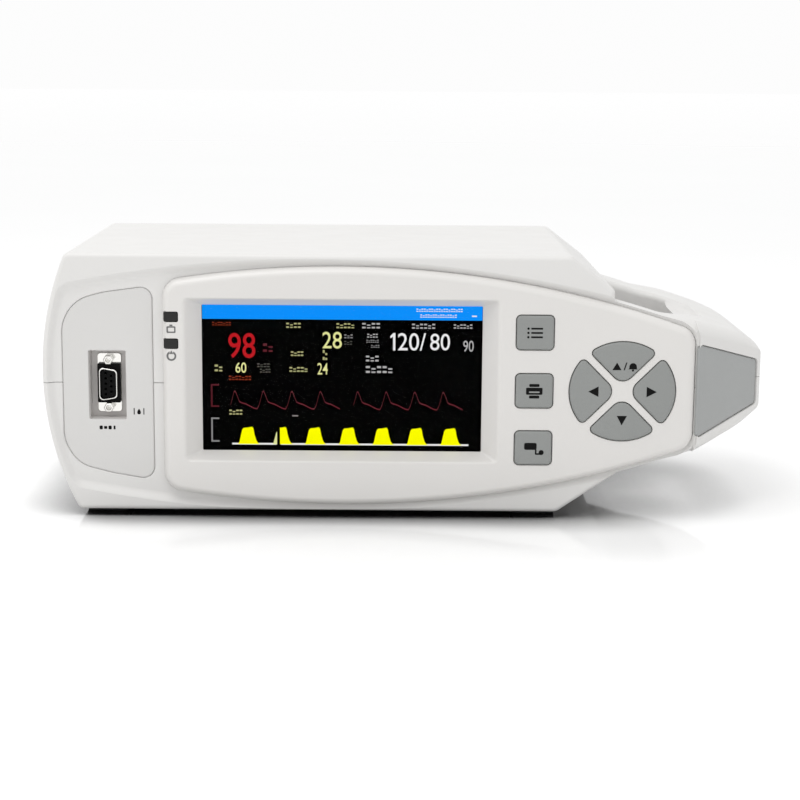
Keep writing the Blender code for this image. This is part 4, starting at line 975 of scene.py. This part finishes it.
def breath(start, name, cut_left=0.0):
    """One filled breath: steep rise, rounded plateau, fall with a foot."""
    shape = ((0.0, 0.0), (0.8, 0.14), (1.5, 0.5), (2.2, 0.84), (3.0, 0.95), (5.2, 0.97), (7.4, 1.02),
             (8.0, 0.92), (8.7, 0.52), (9.6, 0.2), (10.4, 0.08), (11.3, 0.0))
    base, height = 73.1, 9.0
    outline = [(start + u, base - height * h) for u, h in shape if u >= cut_left]
    if cut_left:
        outline = [(start + cut_left, base), (start + cut_left, base - height)] + outline
    lit(name, outline, YELLOW_LIT, 1)


def make_breath_trace():
    lit_box("co2_base_1", 15.0, 72.5, 38.0, 73.4, WHITE_LIT)
    lit_box("co2_base_2", 40.2, 72.5, 137.6, 73.4, WHITE_LIT)
    breath(18.0, "breath_1")
    lit("breath_partial", [(36.2, 73.1), (38.0, 66.6), (38.3, 66.6), (38.3, 73.1)], PALE_YELLOW_LIT, 1)
    breath(35.2, "breath_2", 4.6)
    for k in range(5):
        breath(52.6 + 17.55 * k, f"breath_{k + 3}")


# ---------------------------------------------------------------- sensor panel

def d_shell(grow, height=16.6, width=8.4, radius=2.0):
    """A 9-pin D outline, stood on end, with its long side to the left."""
    a, b, lean = width / 2 + grow, height / 2 + grow, 1.5
    corners = ((-a, b), (-a, -b), (a, lean - b), (a, b - lean))
    return rounded([(SOCKET_X + u, SOCKET_Z + v, radius) for u, v in corners])


def jack_holes(floor):
    """Cutters for the two jackscrew holes through the socket's floor."""
    steps = [(1.7, floor - 3), (1.7, floor + 5)]
    return [turned("screw_hole", "D", SOCKET_X, z, steps, 24)
            for z in (SOCKET_Z - JACK_SPREAD, SOCKET_Z + JACK_SPREAD)]


def make_sensor_panel():
    outline = rounded(PANEL_OUTLINE, 14)
    face = 5.9
    floor = face + SOCKET_DEPTH
    rings = edge_rings(0.9, face, 5) + [(0.0, 9.3), (-2.2, 9.3), (-2.2, 10.8)]
    panel = stack("sensor_door", outline, rings)
    w, h = SOCKET_W / 2, SOCKET_H / 2
    unite(panel, box("cup", (SOCKET_X - w - 1.6, SOCKET_X + w + 1.6), (10, floor + 1.6),
                     (SOCKET_Z - h - 1.6, SOCKET_Z + h + 1.6)))
    mouth = [(0.55, face - 1), (0.5, face - 0.02), (0.2, face + 0.15), (0.0, face + 0.5), (0.0, floor)]
    recess = layered("recess", (SOCKET_X, SOCKET_Z, SOCKET_W, SOCKET_H, 0.8), mouth, 5)
    shell_hole = prism("shell_hole", d_shell(0.9), "D", floor - 2, floor + 5)
    subtract(panel, recess, shell_hole, *jack_holes(floor))
    piece(panel, "housing", "case_plastic", SHADED_PANEL_WHITE, "sensor_panel")
    outside = (SOCKET_X, SOCKET_Z, SOCKET_W - 0.06, SOCKET_H - 0.06, 0.8)
    inside = (SOCKET_X, SOCKET_Z, SOCKET_W - 0.5, SOCKET_H - 0.5, 0.7)
    # A thin sheet lining the recess walls in that darker plastic: painted shade.
    liner = slab("recess_shade_liner", outside, face + 1.4, floor - 0.02, steps=5)
    subtract(liner, slab("liner_core", inside, face, floor - 0.2, steps=5),
             prism("liner_hole", d_shell(0.9), "D", floor - 2, floor + 5), *jack_holes(floor))
    piece(liner, "housing", "case_plastic", RECESS_SHADE)
    make_connector(floor)
    make_panel_signs(face)


def make_connector(floor):
    rings = ((0.3, floor - 1.1), (0.0, floor - 0.95), (0.0, floor - GAP))
    plate = deep("connector_plate", [(d, rounded_box(SOCKET_X, SOCKET_Z, 12.4 - i, 30.8 - i, 1.6, 6))
                                     for i, d in rings])
    rings = ((0.3, floor - 7.0), (0.45, floor - 6.85), (0.5, floor - 6.5), (0.5, floor - 1.7),
             (0.8, floor - 1.2), (1.2, floor - 1.0))
    unite(plate, deep("connector_rim", [(d, d_shell(g)) for g, d in rings]))
    subtract(plate, prism("rim_inside", d_shell(0.0), "D", floor - 9, floor + 3), *jack_holes(floor))
    piece(plate, "housing", "steel", CHROME, "spo2_shell")
    rings = ((0.25, floor - 5.5), (0.0, floor - 5.2), (0.0, floor + 4.5))
    insert = deep("connector_insert", [(d, d_shell(-GAP - i, radius=1.8)) for i, d in rings])
    # A black moulded frame round the D shell, which also stands in for the shade deep in the socket: partly
    # painted shade.
    shape = (SOCKET_X, SOCKET_Z, 11.8, 20.4, 0.6)
    frame_and_shade = slab("connector_frame_and_shade", shape, floor - 3.6, floor - 1.15, steps=4)
    subtract(frame_and_shade, prism("moulding_hole", d_shell(0.55), "D", floor - 9, floor + 3))
    piece(frame_and_shade, "housing", "dark_plastic", SOCKET_BLACK)
    pitch, half_row = 2.77, 1.42
    pins = [(-half_row, (k - 2) * pitch) for k in range(5)]
    pins += [(half_row, (k - 1.5) * pitch) for k in range(4)]
    profile = [(0.8, floor - 7), (0.75, floor - 5.5), (0.5, floor - 5.1), (0.5, floor - 1)]
    subtract(insert, *[turned("contact", "D", SOCKET_X + u, SOCKET_Z + v, profile, 16) for u, v in pins])
    piece(insert, "housing", "dark_plastic", SOCKET_BLACK, "spo2_insert")
    profile = [(2.2, floor - 6.2), (2.6, floor - 5.9), (2.6, floor - 1.4), (1.3, floor - 1.4),
               (1.3, floor + 4)]
    thread = [(1.6, floor - 6.6), (1.2, floor - 5.8), (1.2, floor - 2.2)]
    for name, z in (("jackscrew_top", SOCKET_Z + JACK_SPREAD),
                    ("jackscrew_bottom", SOCKET_Z - JACK_SPREAD)):
        head = turned(name + "_hex", "D", SOCKET_X, z, profile, 6)
        subtract(head, turned("thread", "D", SOCKET_X, z, thread, 24))
        piece(head, "housing", "steel", CHROME, name)


def make_panel_signs(face):
    """Plain printed marks: a row of blocks under the socket and a small framed drop beside it."""
    for k, (width, height) in enumerate(((1.7, 2.0), (1.7, 1.5), (1.7, 2.0), (1.0, 2.0))):
        block = bar(-158.2 + 2.3 * k, 46.4, width, height)
        mark(f"socket_caption_{k + 1}", block, "housing", INK, face, 0.04)
    x, z = -138.5, 55.0
    for side in (-1, 1):
        mark(f"applied_part_side_{side + 2}", bar(x + side * 2.5, z, 0.5, 3.4), "housing", INK, face, 0.04)
    drop = [(x + 1.2 * math.sin(a) * math.sin(a / 2), z - 0.1 + 1.5 * math.cos(a)) for a in
            (2 * math.pi * k / 24 for k in range(24))]
    mark("applied_part_drop", drop, "housing", INK, face, 0.04)


# ---------------------------------------------------------------- recorder, ports, back and underside

def hinge_centre():
    return side_x(HINGE_Z) + BARREL_R, HINGE_Z


def make_recorder():
    cx, cz = hinge_centre()
    heights = steps_between(DOOR_TOP, HINGE_Z, 24)[:-1]
    outline = [(side_x(z), z) for z in heights]
    outline += [(cx + BARREL_R * math.cos(a), cz + BARREL_R * math.sin(a))
                for a in (math.pi * (1 + 1.5 * k / 18) for k in range(19))]
    outline += [(side_x(z, BARREL_R), z) for z in reversed(heights) if z > HINGE_Z + 4]
    rings = [(0.45, DOOR_D[0]), (0.12, DOOR_D[0] + 0.15), (0.0, DOOR_D[0] + 0.5),
             (0.0, DOOR_D[1] - 0.5), (0.12, DOOR_D[1] - 0.15), (0.45, DOOR_D[1])]
    door = stack("recorder_cover", outline, rings)
    slot = rounded([(72, DOOR_TOP - 6, 1.1), (128, DOOR_TOP - 6, 1.1),
                    (128, DOOR_TOP - 3.5, 1.1), (72, DOOR_TOP - 3.5, 1.1)], 5)
    tools = [turned("bore", "D", cx, cz, [(1.2, DOOR_D[0] - 5), (1.2, DOOR_D[1] + 5)], 20),
             prism("paper_slot", slot, "X", -192, -170)]
    for k in range(5):
        z = 56 + 3.2 * k
        tools.append(slab("thumb_rib", (100, z, 26, 1.2, 0.55), -192, side_x(z) + 0.5, "X", 5))
    subtract(door, *tools)
    piece(door, "recorder_door", "case_plastic", WHITE, "recorder_door")
    teeth = []
    for k in range(28):
        d = 73 + 54 * k / 27
        teeth.append((d, DOOR_TOP - 3.6))
        if k < 27:
            teeth.append((d + 1.0, DOOR_TOP - 4.3))
    tear = prism("tear_edge", teeth + [(127, DOOR_TOP - 3.2), (73, DOOR_TOP - 3.2)], "X", -184.6, -184.2)
    piece(tear, "recorder_door", "steel", STEEL)
    make_paper()


def make_paper():
    """The paper roll, with winding rings cut into both ends, and its spool core."""
    cx, cz = -157.0, 67.0
    sides = 64
    rings = []
    for r, d in ((16.2, 72.5), (16.5, 72.7), (16.5, 127.3), (16.2, 127.5)):
        rings.append([(cx + r * math.cos(a) * (1 - 0.006 * math.cos(3 * a)), d, cz + r * math.sin(a))
                      for a in (2 * math.pi * k / sides for k in range(sides))])
    roll = loft("paper_winding", rings)
    grooves = []
    for d in (72.4, 127.6):
        for r in (7.5, 9.6, 11.8, 14.0):
            ring = turned("groove", "D", cx, cz, [(r + 0.12, d - 0.25), (r + 0.12, d + 0.25)], 48)
            subtract(ring, turned("groove_core", "D", cx, cz, [(r - 0.12, d - 1), (r - 0.12, d + 1)], 48))
            grooves.append(ring)
    subtract(roll, turned("core", "D", cx, cz, [(5.2, 70), (5.2, 130)], 32), *grooves)
    piece(roll, "paper", "paper", PAPER, "paper_roll")
    tube = turned("spool_core", "D", cx, cz, [(4.2, 71), (4.6, 71.3), (4.6, 128.7), (4.2, 129)], 32)
    subtract(tube, turned("spool_hollow_1", "D", cx, cz, [(3.4, 70), (3.2, 76)], 32),
             turned("spool_hollow_2", "D", cx, cz, [(3.2, 124), (3.4, 130)], 32))
    piece(tube, "paper", "dark_plastic", DARK, "paper_spool")


def make_ports():
    for name, (z, radius), slot, looks in (("nibp_port", NIBP_PORT, "aluminium", ALUMINIUM),
                                           ("co2_port", CO2_PORT, "tube_rubber", SILICONE)):
        bore, mouth, neck = radius * 0.28, radius * 0.45, radius * PORT_NECK
        profile = [(mouth + 0.6, -187.35), (radius - 0.8, -187.35), (radius - 0.3, -187.15),
                   (radius, -186.6), (radius, PORT_SEAT_X), (neck, PORT_SEAT_X), (neck, -176),
                   (bore + 1, -176), (bore + 1, -168)]
        port = turned(name + "_body", "X", PORT_D, z, profile, 64)
        notches = []
        for k in range(16):
            a = 2 * math.pi * k / 16
            d, height = PORT_D + (radius + 0.25) * math.cos(a), z + (radius + 0.25) * math.sin(a)
            notches.append(turned("notch", "X", d, height, [(0.55, -188), (0.55, -184)], 12))
        profile = [(mouth + 0.7, -188), (mouth + 0.5, -187.3), (mouth, -186.7), (mouth, -179)]
        subtract(port, turned("bore", "X", PORT_D, z, [(bore, -190), (bore, -160)], 32),
                 turned("mouth", "X", PORT_D, z, profile, 32), *notches)
        piece(port, "housing", slot, looks, name)


def rim_box(name, x, z, width, height, face, back, radius):
    """A moulded block seen from behind: rounded corners and a rounded outer edge at depth face."""
    outline = rounded_box(x, z, width, height, radius, 5)
    rings = [(0.0, back)] + [(i, 2 * face - d) for i, d in reversed(edge_rings(0.5, face, 3))]
    return stack(name, outline, rings)


def make_back():
    left, right, low, high = REAR_OPENING
    mid_x, mid_z = (left + right) / 2, (low + high) / 2
    plate = rim_box("connector_panel", mid_x, mid_z, right - left + 8, high - low + 8, 165.2, 162.9, 2)
    tools = [box("hole", (x - w, x + w), (155, 172), (REAR_Z - h, REAR_Z + h)) for x, w, h in
             ((INLET_X, 13.8, 10.3), (ROCKER_X, 7.1, 10.3), (DATA_X, 8.1, 7.1))]
    tools.append(turned("post_hole", "D", POST_X, REAR_Z, [(2.6, 155), (2.6, 172)], 24))
    subtract(plate, *tools)
    piece(plate, "housing", "aluminium", ALUMINIUM, "rear_panel")

    inlet = rim_box("inlet_body", INLET_X, REAR_Z, 27, 20, 166, 142, 1)
    flange = rim_box("inlet_flange", INLET_X, REAR_Z, 30, 24, CASE_BACK, 165.5, 2)
    unite(inlet, flange)
    corners = ((-12, -8, 1.5), (12, -8, 1.5), (12, 3, 1), (7, 8, 1), (-7, 8, 1), (-12, 3, 1))
    mouth = rounded([(INLET_X + u, REAR_Z + v, r) for u, v, r in corners], 5)
    subtract(inlet, stack("mouth", mouth, ((0.0, 150), (0.0, 167.2), (-0.3, 167.8), (-0.9, 168.4))))
    piece(inlet, "housing", "dark_plastic", DARK, "mains_inlet")
    for k, (x, z) in enumerate(((-7, -2), (0, 2), (7, -2))):
        blade = rounded_box(INLET_X + x, REAR_Z + z, 2, 4, 0.3, 3)
        shape = stack(f"inlet_blade_{k + 1}", blade, ((0.0, 149.5), (0.0, 163.0), (0.5, 164.0)))
        piece(shape, "housing", "steel", CHROME)

    housing = rim_box("switch_body", ROCKER_X, REAR_Z, 13.6, 20, 166, 146, 1)
    unite(housing, rim_box("switch_rim", ROCKER_X, REAR_Z, 16, 24, 167, 165.5, 1.5))
    subtract(housing, box("well", (ROCKER_X - 5.5, ROCKER_X + 5.5), (154, 175), (REAR_Z - 9, REAR_Z + 9)))
    piece(housing, "housing", "dark_plastic", DARK, "switch_housing")
    make_rocker()

    port = rim_box("network_port", DATA_X, REAR_Z, 15.6, 13.6, 167, 150, 0.6)
    subtract(port, box("mouth", (DATA_X - 5.9, DATA_X + 5.9), (154, 175), (REAR_Z - 4.4, REAR_Z + 3.6)),
             box("latch", (DATA_X - 2.0, DATA_X + 2.0), (155, 175), (REAR_Z - 6.0, REAR_Z - 4.3)))
    piece(port, "housing", "steel", STEEL, "data_port")
    for k in range(8):
        x = DATA_X - 3.7 + k * 1.02
        contact = box(f"port_contact_{k + 1}", (x, x + 0.4), (156, 164), (REAR_Z + 2.6, REAR_Z + 2.9))
        piece(contact, "housing", "brass", BRASS)

    profile = [(4.5, 158), (4.5, 162.6), (2.3, 162.6), (2.3, 165.6), (3, 165.7), (3, 167.4), (2.7, 167.9),
               (2.0, 168)]
    post = turned("equalising_stud", "D", POST_X, REAR_Z, profile)
    subtract(post, turned("stud_socket", "D", POST_X, REAR_Z, [(1.1, 165), (1.1, 169)], 6))
    piece(post, "housing", "brass", BRASS, "equipotential_post")

    profile = [(12, 146), (12, 152), (20, 160), (20, 164.3), (19.6, 164.8)]
    cone = turned("loudspeaker", "D", SPEAKER_X, SPEAKER_Z, profile, 64)
    profile = [(5.5, 157), (8, 158), (16.2, 162), (17.2, 162.6), (18, 162.4), (18.4, 166)]
    subtract(cone, turned("cone", "D", SPEAKER_X, SPEAKER_Z, profile, 64))
    piece(cone, "housing", "dark_plastic", DARK, "speaker")


def make_rocker():
    """The rocker, tipped to its on side, with a bar on one half and a ring on the other."""
    tilt, pivot = math.radians(7.0), 164.2

    def crown(v):
        return 1.2 - 1.15 * math.sin(math.pi / 2 * (1 - abs(v) / 8.2))

    def tipped(u, v):
        return (pivot + u * math.cos(tilt) - v * math.sin(tilt),
                REAR_Z + u * math.sin(tilt) + v * math.cos(tilt))

    profile = [(crown(v), v) for v in steps_between(-8.2, 8.2, 24)]
    profile = [(-3.5, -7.8)] + profile + [(-3.5, 7.8), (-5.0, 0.0)]
    shape = [tipped(u, v) for u, v in profile]
    rings = ((0.4, ROCKER_X - 5.1), (0.0, ROCKER_X - 4.7), (0.0, ROCKER_X + 4.7), (0.4, ROCKER_X + 5.1))
    rocker = loft("rocker_cap", [[(x, d, z) for d, z in grown(shape, -i)] for i, x in rings])
    piece(rocker, "rocker", "dark_plastic", DARK, "power_rocker")
    for name, v, outline in (("rocker_bar", 5.2, bar(0, 0, 0.7, 3.0)),
                             ("rocker_ring", -5.2, circle(0, 0, 1.5, 32))):
        d, z = tipped(crown(v), v)
        sign = prism(name, [(ROCKER_X + p, z + q) for p, q in outline], "D", d - 0.6, d + 0.12)
        if name == "rocker_ring":
            subtract(sign, prism("ring_hole", circle(ROCKER_X, z, 1.0, 32), "D", d - 2, d + 2))
        piece(sign, "rocker", "paper", PAPER)


def make_underside():
    spots = [(x, d) for x in FEET_X for d in FEET_D]
    for count, (x, d) in enumerate(spots, 1):
        rings = [(z, rounded_box(x, d, 23 - i, 16 - i, 4)) for i, z in
                 ((2.0, 0.0), (1.1, 0.15), (0.4, 0.6), (0.0, 1.4), (0.0, 3.0), (0.3, 3.2))]
        foot = loft(f"foot_pad_{count}", [[(u, v, z) for u, v in outline] for z, outline in rings])
        unite(foot, turned("stub", "Z", x, d, [(2.2, 2.0), (2.2, 9.0)], 24))
        treads = [(x + 4 * k, d, 1.0, 10, 0.45) for k in range(-2, 3)]
        subtract(foot, *[slab("tread", shape, -1, 0.5, "Z", 4) for shape in treads])
        piece(foot, "housing", "foot_rubber", RUBBER, f"foot_{count}")
    for i, (x, d) in enumerate(SCREWS):
        crossed_screw(f"case_screw_{i + 1}", x, d, 3.0, 1.3, 5.2, 7.6, 38.0)

    x, d = BATTERY_DOOR
    screw_x, screw_d, low = x[1] - 5, sum(d) / 2, CASE_BOTTOM
    rings = [(0.6, low), (0.15, low + 0.15), (0.0, low + 0.6), (0.0, low + 2.2)]
    outline = rounded_box(sum(x) / 2, screw_d, x[1] - x[0], d[1] - d[0], 2.6)
    door = loft("battery_cover", [[(u, v, z) for u, v in grown(outline, -i)] for i, z in rings])
    tab_z, tab_d = low + WALL + GAP, (screw_d - 10, screw_d + 10)
    unite(door, box("tab", (x[0] - 5, x[0] + 4), tab_d, (tab_z, tab_z + 1.5)),
          box("tab_root", (x[0] + 0.5, x[0] + 4), tab_d, (low + 1, tab_z + 1)))
    seat = [(4.0, 2), (3.6, 3.5), (3.2, 3.9), (3.2, low + 1.1)]
    tools = [turned("hole", "Z", screw_x, screw_d, [(1.8, 0), (1.8, 12)], 24),
             turned("seat", "Z", screw_x, screw_d, seat, 32)]
    for k in range(4):
        rib = (x[1] - 16 - 3 * k, screw_d, 1.2, 22, 0.5)
        tools.append(slab("finger_rib", rib, 2, low + 0.5, "Z", 4))
    subtract(door, *tools)
    piece(door, "housing", "case_plastic", WHITE, "battery_door")
    crossed_screw("battery_door_screw", screw_x, screw_d, 2.9, 1.4, low + 0.2, low + 0.9, low + 5)


def crossed_screw(node, x, d, head_r, shank_r, low, seat, top):
    """A pan-head screw from below, with a cross recess."""
    profile = [(head_r * 0.7, low), (head_r * 0.93, low + 0.15), (head_r, low + 0.45), (head_r, seat),
               (shank_r, seat), (shank_r, top)]
    screw = turned(node + "_head", "Z", x, d, profile, 32)
    depth = low + min(1.3, seat - low - 0.1)
    subtract(screw, box("slot_1", (x - 1.6, x + 1.6), (d - 0.32, d + 0.32), (low - 1, depth)),
             box("slot_2", (x - 0.32, x + 0.32), (d - 1.6, d + 1.6), (low - 1, depth)))
    piece(screw, "housing", "steel", STEEL, node)


def finish_inside():
    """Materials of the pieces that keep their CAD shape."""
    looks = {"recorder_frame": DARK, "platen_roller": RUBBER, "platen_gear": DARK, "motor_pinion": BRASS,
             "feed_motor": STEEL, "print_head": ALUMINIUM, "door_hinge_pin": STEEL, "lcd_bracket": STEEL,
             "keypad_board": BOARD, "main_board": BOARD, "spo2_board": BOARD, "power_supply": BOARD,
             "battery_pack": WRAP, "chassis": STEEL, "co2_module": ALUMINIUM, "nibp_pump": STEEL,
             "nibp_valve": DARK, "air_tube": SILICONE}
    for name, material in looks.items():
        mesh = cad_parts[name].data
        mesh.materials.clear()
        mesh.materials.append(material)


# ---------------------------------------------------------------- floor, light and camera

def make_stage():
    bpy.ops.mesh.primitive_plane_add(size=14, location=(0, FLOOR_Y, 0))
    floor = bpy.context.object
    floor.name = "floor"
    made, tree, shader = principled("pale_floor")
    noise = link_noise(tree, 3.0)
    pale = ramp(tree, noise.outputs["Fac"], (0.96, 0.96, 0.96), (0.975, 0.975, 0.975))
    darker = tree.nodes.new("ShaderNodeMix")
    darker.data_type = "RGBA"
    darker.blend_type = "MULTIPLY"
    darker.inputs["Factor"].default_value = 1.0
    tree.links.new(pale.outputs["Color"], darker.inputs["A"])
    tree.links.new(contact_shade(tree).outputs["Color"], darker.inputs["B"])
    tree.links.new(darker.outputs["Result"], shader.inputs["Base Color"])
    gloss_by_distance(tree, shader)
    floor.data.materials.append(made)
    make_backdrop()


def contact_shade(tree):
    """Deepens the floor's shade where the object closes it in."""
    open_sky = tree.nodes.new("ShaderNodeAmbientOcclusion")
    open_sky.samples = 24
    open_sky.inputs["Distance"].default_value = SHADE_REACH
    shade = tree.nodes.new("ShaderNodeValToRGB")
    band = shade.color_ramp.elements
    band[0].position, band[0].color = 0.25, (0.01, 0.01, 0.01, 1)
    band[1].position, band[1].color = 0.85, (1.0, 1.0, 1.0, 1)
    middle = band.new(0.55)
    middle.color = (0.45, 0.45, 0.45, 1)
    tree.links.new(open_sky.outputs["AO"], shade.inputs["Fac"])
    return shade


def gloss_by_distance(tree, shader):
    """The floor mirrors what stands on it close by, and is matt further out in front."""
    place_node = tree.nodes.new("ShaderNodeTexCoord")
    split = tree.nodes.new("ShaderNodeSeparateXYZ")
    tree.links.new(place_node.outputs["Object"], split.inputs["Vector"])
    for socket, near, far in (("Roughness", 0.05, 0.7), ("Specular IOR Level", 0.6, 0.0)):
        fade = tree.nodes.new("ShaderNodeMapRange")
        fade.inputs["From Min"].default_value = MIRROR_END
        fade.inputs["From Max"].default_value = MIRROR_START
        fade.inputs["To Min"].default_value = far
        fade.inputs["To Max"].default_value = near
        tree.links.new(split.outputs["Y"], fade.inputs["Value"])
        tree.links.new(fade.outputs["Result"], shader.inputs[socket])


def make_backdrop():
    world = bpy.data.worlds.new("studio")
    bpy.context.scene.world = world
    world.use_nodes = True
    backdrop = world.node_tree.nodes["Background"]
    backdrop.inputs["Color"].default_value = (1.0, 1.0, 1.0, 1)
    backdrop.inputs["Strength"].default_value = AMBIENT


def softbox(name, at, target, size, power):
    data = bpy.data.lights.new(name, "AREA")
    data.shape = "RECTANGLE"
    data.size, data.size_y = size
    data.energy = power
    lamp = bpy.data.objects.new(name, data)
    lamp.location = at
    lamp.rotation_euler = (Vector(target) - Vector(at)).to_track_quat("-Z", "Y").to_euler()
    bpy.context.scene.collection.objects.link(lamp)


def make_lights_and_camera():
    softbox("top_light", (-0.5, -0.35, 1.4), (0, 0, 0.05), (1.2, 0.9), 8.5)
    data = bpy.data.cameras.new("camera")
    data.lens = CAMERA_LENS
    data.sensor_width = 36
    data.shift_x, data.shift_y = CAMERA_SHIFT
    camera = bpy.data.objects.new("camera", data)
    camera.location = place(CAMERA_X, CAMERA_D, CAMERA_Z)
    pitch = Matrix.Rotation(math.pi / 2 - CAMERA_PITCH, 4, "X")
    roll = Matrix.Rotation(CAMERA_ROLL, 4, "Z")
    camera.matrix_world = Matrix.Translation(camera.location) @ pitch @ roll
    bpy.context.scene.collection.objects.link(camera)
    bpy.context.scene.camera = camera
    bpy.context.scene.view_settings.view_transform = "Standard"


make_stage()
make_lights_and_camera()
make_case()
make_grip_inset()
make_bezel()
make_keys()
make_lights()
make_screen()
make_sensor_panel()
make_recorder()
make_ports()
make_back()
make_underside()
finish_inside()
